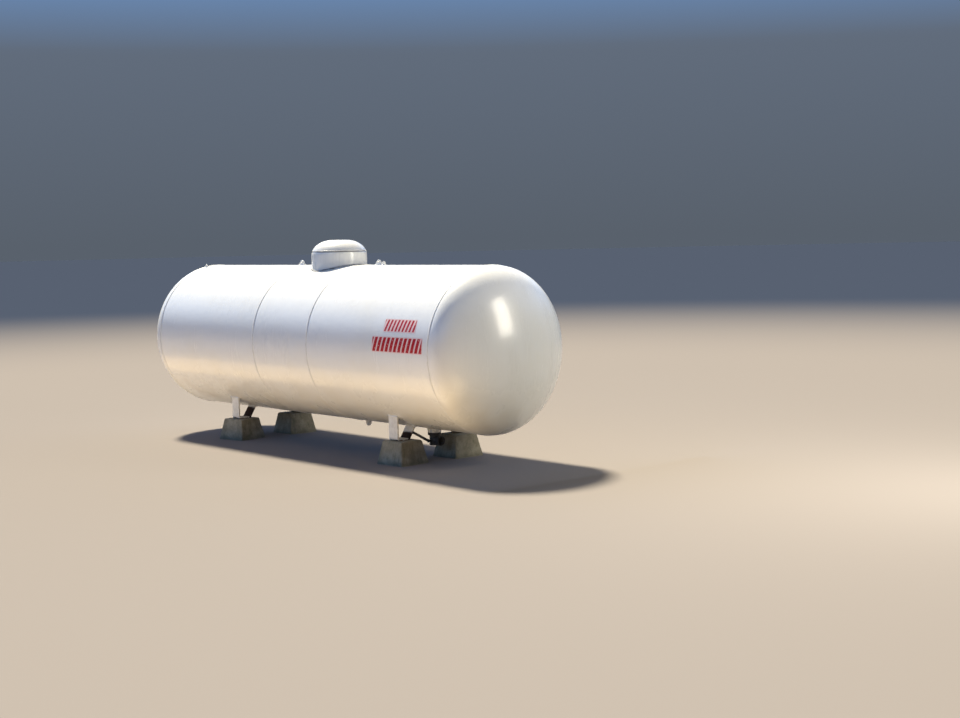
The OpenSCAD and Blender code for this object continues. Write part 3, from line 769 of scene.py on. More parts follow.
makeGirthBead("girthBeadHeadLeft", "weld_head_left", -weldX)
makeGirthBead("girthBeadMidLeft", "weld_mid_left", -midX)
makeGirthBead("girthBeadMidRight", "weld_mid_right", midX)
makeGirthBead("girthBeadHeadRight", "weld_head_right", weldX)
print("girth welds laid")


# Fillet welds: a closed bead whose width pulses along its run

fillet = {
    "radius": 0.0036,
    "pitch": 0.0052,         # length of one ripple
    "pulse": 0.1,
    "unevenness": 0.08,
    "lift": 0.25,            # share of the radius that its middle lies off the plate
}


def layBead(path, radius, pitch):
    curve = bpy.data.curves.new("bead", "CURVE")
    curve.dimensions = "3D"
    curve.bevel_depth = radius
    curve.bevel_resolution = 2
    spline = addLoop(curve, path)
    travelled = 0.0
    for i, place in enumerate(path):
        if i:
            travelled += (place - path[i - 1]).length
        spline.points[i].radius = (1 + fillet["pulse"] * math.sin(fullTurn * travelled / pitch)
                                   + fillet["unevenness"] * noise.noise(place * 90))
    bm = fromCurve(curve)
    merge(bm)
    return bm


def footBead(bm, flat, seat=onShell, radius=fillet["radius"], pitch=fillet["pitch"]):
    path = [seat(x, y, radius * fillet["lift"]) for x, y in flat]
    joinInto(bm, layBead(path, radius, pitch))


# Valve hood: welded collar, hinged lid and the bead round its foot

hood = {
    "shoulderW": 0.16,
    "shoulderH": 0.116,
    "collarT": 0.004,
    "lidT": 0.003,
    "lidClear": 0.0065,
    "stepClear": 0.005,
    "hemR": 0.0028,          # the lower edge is rolled round a wire
    "hemStart": -150.0,      # degrees at which the roll starts, and the gap between its rings
    "hemGap": 24.0,
    "around": 144,
    "arcSteps": 28,
    "weldR": 0.0055,
    "weldOut": 0.0035,       # how far the bead's middle lies outside the collar
    "weldLift": 0.002,
    "weldPitch": 0.006,
}


def shoulder(angle, out=0.0):
    w, h = hood["shoulderW"], hood["shoulderH"]
    across = Vector((h * math.cos(angle), w * math.sin(angle))).normalized() * out
    spring = lidHigh.z - h
    return Vector((hoodR - w + w * math.cos(angle) + across.x, spring + h * math.sin(angle) + across.y))


def shoulderAngle(z):
    return math.asin((z - (lidHigh.z - hood["shoulderH"])) / hood["shoulderH"])


def makeCollar():
    wall = hood["collarT"]
    stepZ = lidLow.z - hood["stepClear"]
    turns = [shoulderAngle(stepZ) * i / 6 for i in range(7)]
    outer = [tuple(shoulder(a)) for a in turns]
    inner = [tuple(shoulder(a, -wall)) for a in turns[::-1]]
    footTop = outer[0][1]
    neckR = shoulder(shoulderAngle(lidLow.z), -hood["lidT"]).x - hood["lidClear"]
    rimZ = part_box("hood_collar")[1].z
    rises = spaced(crownZ - 0.01, footTop, 0.012)[:-1]
    profile = [(hoodR, z) for z in rises] + outer
    profile += [(outer[-1][0] - 0.001, stepZ + 0.0012), (neckR + 0.002, stepZ + 0.0012),
                (neckR + 0.0004, stepZ + 0.0026), (neckR, rimZ - 0.001), (neckR - 0.001, rimZ),
                (neckR - wall + 0.001, rimZ), (neckR - wall, rimZ - 0.001), (neckR - wall, stepZ - wall)]
    profile += inner + [(hoodR - wall, z) for z in rises[::-1]]
    bm = spinOutline([(r, 0, z) for r, z in profile], (0, 0, 0), (0, 0, 1), hood["around"])
    # The foot is cut to the saddle curve of the shell
    for vert in bm.verts:
        if vert.co.z < footTop - 1e-5:
            low = onShell(vert.co.x, vert.co.y).z + 0.0003
            share = (footTop - vert.co.z) / (footTop - crownZ + 0.01)
            vert.co.z = footTop + (low - footTop) * share
    finishPiece(bm, "hoodCollar", "tank_paint", ["hood_collar"], hoodPaint)


def makeLid():
    thick, hemR = hood["lidT"], hood["hemR"]
    start = shoulderAngle(lidLow.z + hemR)
    turns = [start + (math.pi / 2 - start) * i / hood["arcSteps"] for i in range(hood["arcSteps"] + 1)]
    outer = [tuple(shoulder(a)) for a in turns[1:-1]] + [(0.0, lidHigh.z)]
    inner = [(0.0, lidHigh.z - thick)] + [tuple(shoulder(a, -thick)) for a in turns[-2:0:-1]]
    middle = shoulder(start, -thick / 2 + 0.0006)
    curl = arcPoints(*middle, hemR, hood["hemStart"], hood["hemStart"] + 13 * hood["hemGap"], 13)
    rolled = [p for p in curl if p[1] >= lidLow.z - 1e-6]
    points = [(r, 0, z) for r, z in (outer[::-1] + rolled[::-1] + inner[::-1])]
    bm = spinOutline(points, (0, 0, 0), (0, 0, 1), hood["around"], closed=False)
    finishPiece(bm, "hoodLid", "tank_paint", ["hood_lid"], hoodPaint, body="lid")


def makeCollarBead():
    flat = ringPath(0, 0, hoodR + hood["weldOut"], 720)
    path = [onShell(x, y, hood["weldLift"]) for x, y in flat]
    bm = layBead(path, hood["weldR"], hood["weldPitch"])
    # Its near-black colour is a painted contact shadow round the hood's foot
    finishPiece(bm, "hoodCollarBead", "tank_paint", ["collar_weld"], footWeldShade, sharp=70)


makeCollar()
makeLid()
makeCollarBead()
print("hood built")


# Legs: one flat bar each, folded at the two ends of its foot

leg = {
    "barW": 0.1,
    "barT": 0.011,
    "foldR": 0.018,          # outside radius of the two folds
    "foldSteps": 8,
    "edge": 0.0014,
    "outerY": 0.337,
    "innerY": 0.236,
    "topY": 0.184,
    "outerLength": 0.16,     # the arms start this long and are then cut to the belly
    "innerLength": 0.11,
    "cutAbove": 0.08,
    "sunk": 0.004,           # how far the arms run into the plate
    "weldR": 0.0052,
    "weldPitch": 0.0065,
    "leanWider": 1.14,       # the leaning arm meets the plate over a longer stretch
}


def makeLeg(name, node, sideY):
    low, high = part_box(node)
    lowX = (low.x + high.x - leg["barW"]) / 2
    half = leg["barT"] / 2
    armTop = underShell(0, leg["topY"]).z
    lean = Vector((leg["topY"] - leg["innerY"], armTop - low.z - half)).normalized()
    start = Vector((leg["innerY"], low.z + half)) + Vector((-lean.y, lean.x)) * half
    corner = start + lean * ((low.z - start.y) / lean.y)
    tip = start + lean * leg["innerLength"]
    outerY = leg["outerY"] + half
    line = [(outerY, low.z + leg["outerLength"]), (outerY, low.z), tuple(corner), tuple(tip)]
    bm = bmesh.new()
    made = chain(bm, [(lowX, sideY * y, z) for y, z in line])
    edges = [item for item in made if isinstance(item, bmesh.types.BMEdge)]
    swept = bmesh.ops.extrude_edge_only(bm, edges=edges)["geom"]
    moved = [item for item in swept if isinstance(item, bmesh.types.BMVert)]
    bmesh.ops.translate(bm, verts=moved, vec=(leg["barW"], 0, 0))
    bmesh.ops.recalc_face_normals(bm, faces=bm.faces[:])
    for fold in [edge for edge in bm.edges if len(edge.link_faces) == 2]:
        setBack = leg["foldR"] * math.tan(fold.calc_face_angle() / 2)
        bmesh.ops.bevel(bm, geom=[fold], offset=setBack, offset_type="OFFSET", segments=leg["foldSteps"],
                        profile=0.5, affect="EDGES", material=-1)
    bmesh.ops.recalc_face_normals(bm, faces=bm.faces[:])
    foot = min(bm.faces, key=lambda face: face.calc_center_median().z)
    if foot.normal.z > 0:
        bmesh.ops.reverse_faces(bm, faces=bm.faces[:])
    bmesh.ops.solidify(bm, geom=bm.faces[:], thickness=leg["barT"])
    for vert in bm.verts:
        if vert.co.z > low.z + leg["cutAbove"]:
            vert.co.z = underShell(0, vert.co.y, -leg["sunk"]).z
    bmesh.ops.recalc_face_normals(bm, faces=bm.faces[:])
    corners = [edge for edge in bm.edges if edge.calc_face_angle(0) > math.radians(60)]
    bmesh.ops.bevel(bm, geom=corners, offset=leg["edge"], offset_type="OFFSET", segments=3,
                    profile=0.5, affect="EDGES", material=-1, clamp_overlap=True)
    finishPiece(bm, name, "leg_paint", [node])
    layLegWelds(name + "Weld", lowX, lowX + leg["barW"], sideY)


def layLegWelds(name, lowX, highX, sideY):
    r = leg["weldR"]
    out = r * 0.2
    half = leg["barT"] / 2
    bm = bmesh.new()
    for centre, wide in ((leg["outerY"], half), (leg["topY"], half * leg["leanWider"])):
        flat = boxPath(lowX - out, highX + out, centre - wide - out, centre + wide + out)
        footBead(bm, [(x, sideY * y) for x, y in flat], underShell, r, leg["weldPitch"])
    finishPiece(bm, name, "tank_paint", material=weldPaint, sharp=70)


makeLeg("legFrontLeft", "leg_front_left", -1)
makeLeg("legFrontRight", "leg_front_right", -1)
makeLeg("legBackLeft", "leg_back_left", 1)
makeLeg("legBackRight", "leg_back_right", 1)
print("legs bent and welded")


# Concrete blocks: a tapered casting with rounded arrises, chips and blow holes

block = {
    "base": 0.267,
    "topShare": 0.749,       # width of the top as a share of the base
    "round": 0.010,
    "arrisReach": 0.414,     # how much further an arris lies than the rounding, as a share of it
    "cuts": 47,
    "grit": 0.0009,
    "chip": 0.0075,
    "swell": 0.0016,
}


def makeBlock(name, node, turn=0.0):
    low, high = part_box(node)
    centre = (low + high) / 2
    half = Vector((block["base"] / 2, block["base"] / 2, (high.z - low.z) / 2))
    turnedBy = Matrix.Rotation(math.radians(turn), 3, "Z")
    r = block["round"]
    bm = bmesh.new()
    bmesh.ops.create_cube(bm, size=2.0)
    bmesh.ops.subdivide_edges(bm, edges=bm.edges[:], cuts=block["cuts"], use_grid_fill=True)
    for vert in bm.verts:
        full = vert.co * half
        core = Vector((max(r - half.x, min(half.x - r, full.x)), max(r - half.y, min(half.y - r, full.y)),
                       min(half.z - r, full.z)))
        offset = full - core
        far = offset.length
        # 0 on a flat face and 1 along an arris
        arris = max(0.0, (far / r - 1) / block["arrisReach"])
        outward = offset.normalized() if far else Vector((0, 0, -1))
        place = core + outward * min(r, far)
        rise = (place.z + half.z) / (2 * half.z)
        taper = 1 + (block["topShare"] - 1) * rise
        world = centre + turnedBy @ Vector((place.x * taper, place.y * taper, place.z))
        depth = block["grit"] * (0.5 + 0.5 * noise.turbulence(world * 95, 3, False))
        if abs(vert.co.z) < 0.999 or arris > 0:
            chip = max(0.0, noise.noise(world * 31) - 0.12) * min(1.0, arris * 1.4)
            depth += block["swell"] * (0.5 + 0.5 * noise.noise(world * 9)) + block["chip"] * chip
        vert.co = world - turnedBy @ outward * depth
        vert.co.z = max(vert.co.z, low.z)
    finishPiece(bm, name, "concrete", [node], sharp=80)


makeBlock("blockFrontLeft", "block_front_left", 12)
makeBlock("blockFrontRight", "block_front_right", 4)
makeBlock("blockBackLeft", "block_back_left")
makeBlock("blockBackRight", "block_back_right")
print("blocks cast")


# Fittings on the outside of the shell, each with a fillet bead at its foot

fitting = {
    "edge": 0.0009,
    "sunk": 0.004,           # how far a foot runs into the plate
}


def cutPlate(outline, holes, thickness, edge):
    curve = bpy.data.curves.new("plateOutline", "CURVE")
    curve.dimensions = "2D"
    curve.fill_mode = "BOTH"
    curve.extrude = thickness / 2 - edge
    curve.bevel_depth = edge
    curve.bevel_resolution = 2
    curve.offset = -edge
    for points in [outline, *holes]:
        addLoop(curve, [(x, y, 0) for x, y in points])
    bm = fromCurve(curve)
    merge(bm, 2e-5)
    return bm


lug = {
    "length": 0.08,
    "thickness": 0.012,
    "crown": 0.0176,         # height at which the round top's centre lies
    "toe": 0.0006,
    "holeR": 0.011,
}


def makeLug(name, node):
    low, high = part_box(node)
    x = (low.x + high.x) / 2
    topR = high.z - crownZ - lug["crown"]
    half = lug["length"] / 2
    thin = lug["thickness"] / 2
    lean = math.atan2(lug["crown"], half)
    tangent = math.degrees(math.acos(topR / math.hypot(half, lug["crown"])) - lean)
    outline = [(-half, -fitting["sunk"]), (half, -fitting["sunk"]), (half, lug["toe"])]
    outline += arcPoints(0, lug["crown"], topR, tangent, 180 - tangent, 28) + [(-half, lug["toe"])]
    hole = arcPoints(0, lug["crown"], lug["holeR"], 0, 352, 44)
    bm = cutPlate(outline, [hole], lug["thickness"], fitting["edge"])
    moveTo(bm, (x, 0, crownZ), 90)
    footBead(bm, boxPath(x - half, x + half, -thin, thin))
    finishPiece(bm, name, "tank_paint", [node], sharp=50)


headLug = {
    "half": 0.011,
    "rise": 0.0132,
    "holeR": 0.0044,
    "thickness": 0.008,
    "weldR": 0.0032,
    "weldPitch": 0.005,
    "turn": 13,              # degrees back from the crown line
}


def makeHeadLug():
    low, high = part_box("head_lug")
    x = (low.x + high.x) / 2
    half, rise = headLug["half"], headLug["rise"]
    thin = headLug["thickness"] / 2
    outline = [(-half, -fitting["sunk"]), (half, -fitting["sunk"])] + arcPoints(0, rise, half, 0, 180, 28)
    hole = arcPoints(0, rise, headLug["holeR"], 0, 350, 35)
    bm = cutPlate(outline, [hole], headLug["thickness"], fitting["edge"])
    moveTo(bm, (x, 0, tankR), 90)
    # It is welded on at the very top of a shell round the X axis and then swung into place
    r = tankR + headLug["weldR"] * fillet["lift"]
    flat = boxPath(x - half, x + half, -thin, thin)
    path = [Vector((px, py, math.sqrt(r * r - py * py))) for px, py in flat]
    joinInto(bm, layBead(path, headLug["weldR"], headLug["weldPitch"]))
    moveTo(bm, (0, 0, axisZ), headLug["turn"])
    finishPiece(bm, "headLug", "tank_paint", ["head_lug"], sharp=50)


coupling = {
    "topTall": 0.018,
    "topPlugR": 0.0098,
    "topHex": 0.0168,
    "topEdge": 0.0014,
    "drainR": 0.022,
    "drainTall": 0.034,
    "drainPlugR": 0.0152,
    "drainHex": 0.0264,
    "drainEdge": 0.0016,
}


# A coupling with a plug screwed into it; up is 1 on the crown and -1 under the belly
def plugged(r, root, end, plugR, edge, up):
    groove = end - up * (edge - 0.0002)
    step = end + up * (edge - 0.0006)
    return [(0, root), (r, root), (r, end - up * edge), (r - edge, end), (plugR + edge, end),
            (plugR + edge - 0.0008, groove), (plugR, groove), (plugR, step), (0, step)]


def makeTopCoupling():
    low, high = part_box("top_coupling")
    x = (low.x + high.x) / 2
    r = (high.x - low.x) / 2
    top = crownZ + coupling["topTall"]
    profile = plugged(r, crownZ - fitting["sunk"], top, coupling["topPlugR"], coupling["topEdge"], 1)
    bm = turned(profile, x, 0)
    hexPrism(bm, coupling["topHex"], top, high.z, x, 0)
    footBead(bm, ringPath(x, 0, r))
    finishPiece(bm, "topCoupling", "tank_paint", ["top_coupling"])


def makeDrainCoupling():
    low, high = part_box("drain_coupling")
    x = (low.x + high.x) / 2
    r = coupling["drainR"]
    foot = bellyZ - coupling["drainTall"]
    profile = plugged(r, bellyZ + fitting["sunk"], foot, coupling["drainPlugR"], coupling["drainEdge"], -1)
    bm = turned(profile, x, 0)
    hexPrism(bm, coupling["drainHex"], low.z, foot, x, 0)
    footBead(bm, ringPath(x, 0, r), underShell)
    finishPiece(bm, "drainCoupling", "tank_paint", ["drain_coupling"])


# Outlet: a nozzle under the belly, the valve screwed into it and the valve's lever

outlet = {
    "nozzleR": 0.049,
    "boreR": 0.0415,
    "weldR": 0.0052,
    "bodyR": 0.0378,
    "waistCut": 0.0022,
    "hexWide": 0.084,
    "hexTall": 0.0184,
    "portDrop": 0.05704,     # from the valve's top down to the middle of its port
    "portR": 0.027,
    "portWall": 0.008,
    "threads": 17,
    "threadStep": 0.0015,
    "threadDepth": 0.0009,
    "leverLength": 0.21,
    "leverHalf": 0.0091,
    "leverT": 0.006,
    "leverEye": 0.013,
    "leverHole": 0.0041,
    "leverEdge": 0.0007,
    "leverTurn": 165,
    "shaftR": 0.0065,
}
outletX = (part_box("outlet_nozzle")[0].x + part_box("outlet_nozzle")[1].x) / 2
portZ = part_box("outlet_valve")[1].z - outlet["portDrop"]


def makeOutletNozzle():
    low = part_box("outlet_nozzle")[0].z
    r, boreR = outlet["nozzleR"], outlet["boreR"]
    root = bellyZ + fitting["sunk"]
    profile = [(0, root), (r, root), (r, low + 0.0022), (r - 0.0022, low),
               (boreR + 0.001, low), (boreR, low + 0.001), (0, low + 0.001)]
    bm = turned(profile, outletX, 0, 96)
    for vert in bm.verts:
        if vert.co.z > bellyZ:
            vert.co.z = underShell(vert.co.x, vert.co.y, -fitting["sunk"]).z
    footBead(bm, ringPath(outletX, 0, r, 280), underShell, outlet["weldR"])
    finishPiece(bm, "outletNozzle", "tank_paint", ["outlet_nozzle"])


def makeOutletValve():
    low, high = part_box("outlet_valve")
    r = outlet["bodyR"]
    waist = r - outlet["waistCut"]
    hexLow = high.z - outlet["hexTall"]
    profile = [(0, low.z), (r - 0.006, low.z), (r - 0.002, low.z + 0.0012), (r, low.z + 0.005),
               (r, low.z + 0.012), (waist, low.z + 0.0145), (waist, hexLow - 0.008), (r, hexLow - 0.005),
               (r, hexLow + 0.001), (0, hexLow + 0.001)]
    bm = turned(profile, outletX, 0, 96)
    hexPrism(bm, outlet["hexWide"], hexLow, high.z, outletX, 0, edge=0.0016)
    reach = high.x - outletX
    boreR = outlet["portR"]
    rimR = boreR + outlet["portWall"]
    side = [(0, 0.02), (rimR - 0.003, 0.02), (rimR - 0.003, reach - 0.02), (rimR, reach - 0.016),
            (rimR, reach - 0.002), (rimR - 0.002, reach), (boreR + 0.002, reach)]
    side += [(boreR - (i % 2) * outlet["threadDepth"], reach - outlet["threadStep"] * (i + 1))
             for i in range(outlet["threads"])]
    side += [(boreR - 0.004, reach - 0.03), (boreR - 0.004, reach - 0.036), (0, reach - 0.036)]
    port = turned(side, 0, 0, 96)
    moveTo(port, (outletX, 0, portZ), 90, "Y")
    bmesh.ops.recalc_face_normals(port, faces=port.faces[:])
    joinInto(bm, port)
    finishPiece(bm, "outletValve", "valve_iron", ["outlet_valve"])


def makeOutletLever():
    low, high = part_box("outlet_lever")
    half = outlet["leverHalf"]
    tip = outlet["leverLength"] - half
    shaftR = outlet["shaftR"]
    outline = arcPoints(tip, 0, half, -90, 90, 16) + arcPoints(0, 0, outlet["leverEye"], 46, 314, 40)
    hole = arcPoints(tip, 0, outlet["leverHole"], 0, 345, 23)
    bm = cutPlate(outline, [hole], outlet["leverT"], outlet["leverEdge"])
    moveTo(bm, (0, 0, 0), outlet["leverTurn"], "Z")
    moveTo(bm, (0, low.y + outlet["leverT"] / 2, 0), 90)
    shaft = turned([(0, low.y), (shaftR - 0.0003, low.y), (shaftR, low.y + 0.0004),
                    (shaftR, high.y), (0, high.y)], 0, 0, 40)
    moveTo(shaft, (0, 0, 0), -90)
    joinInto(bm, shaft)
    moveTo(bm, (outletX, 0, portZ))
    finishPiece(bm, "outletLever", "lever_steel", ["outlet_lever"])


makeLug("liftingLugLeft", "lug_left")
makeLug("liftingLugRight", "lug_right")
makeHeadLug()
makeTopCoupling()
makeDrainCoupling()
makeOutletNozzle()
makeOutletValve()
makeOutletLever()
print("shell fittings made")


# Valves and gauge on the crown, under the hood

# Where each stands on the crown, and the radius of its coupling
crownFit = {
    "relief": (0.0, 0.048, 0.0372),
    "fill": (-0.105, -0.025, 0.0341),
    "vapour": (-0.020, -0.110, 0.02635),
    "gauge": (0.075, -0.085, 0.039),
    "service": (0.105, 0.030, 0.028),
    "plug": (-0.075, 0.095, 0.03),
}
crownCoupling = {"tall": 0.016, "root": 0.003, "edge": 0.0016, "gap": 0.0001}
couplingTop = crownZ + crownCoupling["tall"]


def makeCrownCouplings():
    bm = bmesh.new()
    edge = crownCoupling["edge"]
    top = couplingTop - crownCoupling["gap"]
    for x, y, r in crownFit.values():
        foot = onShell(x, abs(y) + r).z - crownCoupling["root"]
        profile = [(0, foot), (r, foot), (r, couplingTop - edge), (r - edge, top), (0, top)]
        joinInto(bm, turned(profile, x, y))
        footBead(bm, ringPath(x, y, r, 200))
    finishPiece(bm, "crownCouplings", "tank_paint")


barrel = {
    "reliefValve": {"hexWide": 0.062, "hexTall": 0.018, "r": 0.027, "tall": 0.044},
    "fillValve": {"hexWide": 0.055, "hexTall": 0.014, "r": 0.022, "tall": 0.030},
    "vapourValve": {"hexWide": 0.03875, "hexTall": 0.012, "r": 0.0155, "tall": 0.026},
}
thread = {"pitch": 0.0022, "depth": 0.0008}


def threadRings(r, low, high):
    points = []
    count = max(1, round((high - low) / thread["pitch"]))
    for i in range(count):
        z = low + (high - low) * i / count
        points += [(r - thread["depth"], z), (r, z + thread["pitch"] * 0.45), (r, z + thread["pitch"] * 0.6)]
    return points


def makeBarrelValve(name, key, node):
    x, y = crownFit[key][:2]
    r = barrel[name]["r"]
    neck = r - 0.0022
    hexTop = couplingTop + barrel[name]["hexTall"]
    top = hexTop + barrel[name]["tall"]
    profile = [(0, hexTop - 0.002), (r, hexTop - 0.002), (r, hexTop + 0.003), (neck, hexTop + 0.0042)]
    profile += [(neck, hexTop + 0.006)] + threadRings(r, hexTop + 0.0068, top - 0.0014)
    profile += [(r - 0.001, top), (r * 0.72, top), (r * 0.68, top - 0.0015),
                (r * 0.3, top - 0.0015), (r * 0.26, top - 0.0004), (0, top - 0.0002)]
    bm = turned(profile, x, y, 96)
    hexPrism(bm, barrel[name]["hexWide"], couplingTop, hexTop, x, y)
    finishPiece(bm, name, "valve_brass", [node])


cap = {
    "reliefInner": 0.0273,
    "reliefRoof": 0.0075,
    "wall": 0.004,
    "seat": 0.0003,          # gap to the valve under it
    "rib": 0.0018,
    "skirt": 0.0012,
}


def makeReliefCap():
    x, y = crownFit["relief"][:2]
    low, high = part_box("relief_cap")
    r = (high.x - low.x) / 2
    inner = cap["reliefInner"]
    roof = high.z - cap["reliefRoof"]
    turns = [math.pi / 2 * i / 8 for i in range(1, 9)]
    profile = [(0, high.z)]
    profile += [((r - 0.004) * math.sin(a), high.z - 0.0035 * (1 - math.cos(a))) for a in turns]
    profile += [(r - 0.0012, high.z - 0.0052), (r, high.z - 0.0068), (r, low.z + 0.001), (r - 0.001, low.z),
                (inner + 0.0004, low.z), (inner, low.z + 0.0006), (inner, roof - 0.0002), (0, roof)]
    finishPiece(turned(profile, x, y, 96), "reliefCap", "yellow_cap", ["relief_cap"])


def makeScrewCap(name, node, key, innerR, ribs):
    x, y = crownFit[key][:2]
    low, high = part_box(node)
    r = innerR + cap["wall"]
    inside = innerR + cap["seat"]
    skirtR = r + cap["skirt"]
    roof = high.z - cap["wall"] + 0.0002
    profile = [(0, high.z - 0.0012), (r * 0.55, high.z - 0.0012), (r * 0.6, high.z), (r - 0.0022, high.z),
               (r - 0.0006, high.z - 0.0008), (r, high.z - 0.0026)]
    profile += [(r, z) for z in spaced(high.z - 0.0036, low.z + 0.003, 0.004)]
    profile += [(r - 0.0004, low.z + 0.0022), (skirtR, low.z + 0.0018), (skirtR, low.z), (inside, low.z),
                (inside, roof), (0, roof)]
    bm = turned(profile, x, y, ribs * 10)
    for vert in bm.verts:
        flat = Vector((vert.co.x - x, vert.co.y - y, 0))
        if abs(flat.length - r) < 1e-4 and low.z + 0.0028 < vert.co.z < high.z - 0.003:
            swell = max(0.0, math.cos(ribs * math.atan2(flat.y, flat.x)))
            vert.co += flat.normalized() * cap["rib"] * swell
    finishPiece(bm, name, "yellow_cap", [node], sharp=50)


service = {
    "hexTall": 0.014,
    "hexWide": 0.042,
    "bodyTall": 0.036,
    "bodyR": 0.017,
    "bonnetHex": 0.026,
    "stemR": 0.006,
    "spoutR": 0.013,
    "spoutUp": 0.018,
    "spoutHex": 0.024,
}


def makeServiceValve():
    x, y = crownFit["service"][:2]
    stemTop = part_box("service_valve")[1].z - 0.0003
    hexTop = couplingTop + service["hexTall"]
    bodyTop = hexTop + service["bodyTall"]
    r, stemR = service["bodyR"], service["stemR"]
    profile = [(0, hexTop - 0.002), (r - 0.002, hexTop - 0.002), (r - 0.002, hexTop + 0.003),
               (r, hexTop + 0.006), (r, bodyTop - 0.004), (r - 0.001, bodyTop - 0.0012), (r - 0.004, bodyTop),
               (0.0125, bodyTop), (0.0125, bodyTop + 0.001), (stemR, bodyTop + 0.007), (stemR, stemTop),
               (0, stemTop)]
    bm = turned(profile, x, y)
    hexPrism(bm, service["hexWide"], couplingTop, hexTop, x, y)
    hexPrism(bm, service["bonnetHex"], bodyTop + 0.0008, bodyTop + 0.007, x, y)
    side = [(0, 0.004), (0.0115, 0.004), (0.0115, 0.022)] + threadRings(service["spoutR"], 0.024, 0.0435)
    side += [(0.0105, 0.0442), (0, 0.0442)]
    spout = turned(side, 0, 0, 64)
    hexPrism(spout, service["spoutHex"], 0.044, 0.054, 0, 0)
    moveTo(spout, (x, y, hexTop + service["spoutUp"]), 90, "Y")
    joinInto(bm, spout)
    finishPiece(bm, "serviceValve", "valve_brass", ["service_valve"])


handwheel = {"r": 0.027, "hubR": 0.012, "lobes": 8, "notch": 0.0034, "rimR": 0.0045}


def makeHandwheel():
    x, y = crownFit["service"][:2]
    low, high = (corner.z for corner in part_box("service_handwheel"))
    r, hubR, rimR = handwheel["r"], handwheel["hubR"], handwheel["rimR"]
    profile = [(0, low + 0.001), (0.009, low + 0.001), (0.01, low + 0.0022), (0.016, low + 0.0026)]
    profile += arcPoints(r - rimR, (low + high) / 2, rimR, -115, 115, 12)
    profile += [(0.016, high - 0.0026), (0.01, high - 0.002), (0.009, high - 0.001), (0, high - 0.001)]
    bm = turned(profile, x, y, 128)
    for vert in bm.verts:
        flat = Vector((vert.co.x - x, vert.co.y - y, 0))
        if flat.length > hubR:
            share = (flat.length - hubR) / (r - hubR)
            notch = (0.5 - 0.5 * math.cos(handwheel["lobes"] * math.atan2(flat.y, flat.x))) ** 1.5
            vert.co -= flat.normalized() * handwheel["notch"] * notch * share
    finishPiece(bm, "serviceHandwheel", "wheel_paint", ["service_handwheel"], sharp=50)
    # The washer, nut and stud that hold it
    nut = turned([(0, high - 0.0012), (0.0068, high - 0.0012), (0.0068, high), (0, high)], x, y, 40)
    hexPrism(nut, 0.01, high - 0.0002, high + 0.0042, x, y, edge=0.0005)
    joinInto(nut, turned([(0, high + 0.004), (0.003, high + 0.004), (0.003, high + 0.0062),
                          (0.0024, high + 0.0068), (0, high + 0.0068)], x, y, 32))
    finishPiece(nut, "handwheelNut", "gauge_metal")


plug = {"flangeR": 0.024, "flangeTall": 0.006, "hexWide": 0.036}


def makePlug():
    x, y = crownFit["plug"][:2]
    r = plug["flangeR"]
    top = couplingTop + plug["flangeTall"]
    profile = [(0, couplingTop), (r - 0.0008, couplingTop), (r, couplingTop + 0.0008), (r, top - 0.0012),
               (r - 0.0012, top), (0, top)]
    bm = turned(profile, x, y)
    hexPrism(bm, plug["hexWide"], top - 0.0004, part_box("liquid_plug")[1].z, x, y, edge=0.0012)
    finishPiece(bm, "liquidPlug", "valve_brass", ["liquid_plug"])


gauge = {"flangeR": 0.036, "flangeTall": 0.008, "boltRing": 0.03, "boltHex": 0.008, "washerR": 0.0056}


def makeGauge():
    x, y = crownFit["gauge"][:2]
    r, washerR = gauge["flangeR"], gauge["washerR"]
    top = couplingTop + gauge["flangeTall"]
    profile = [(0, couplingTop), (r, couplingTop), (r, top - 0.001), (r - 0.001, top), (0.0215, top),
               (0.0212, top - 0.0005), (0, top - 0.0005)]
    bm = turned(profile, x, y, 96)
    washer = [(0, top - 0.0002), (washerR, top - 0.0002), (washerR, top + 0.0009), (0, top + 0.0009)]
    for boltX, boltY in arcPoints(x, y, gauge["boltRing"], 45, 315, 3):
        joinInto(bm, turned(washer, boltX, boltY, 32))
        hexPrism(bm, gauge["boltHex"], top + 0.0006, top + 0.005, boltX, boltY, edge=0.0005)
    finishPiece(bm, "levelGaugeFlange", "gauge_metal", ["level_gauge"])


dial = {
    "faceR": 0.0176,
    "sunk": 0.0024,          # depth of the face below the rim
    "marks": 19,
    "sweep": 270,
    "needleAt": 68,
    "needleLength": 0.0165,
    "numbers": ("10", "20", "30", "40", "50", "60", "70", "80", "90"),
    "numberSize": 0.0034,
    "numberRing": 0.0108,
}


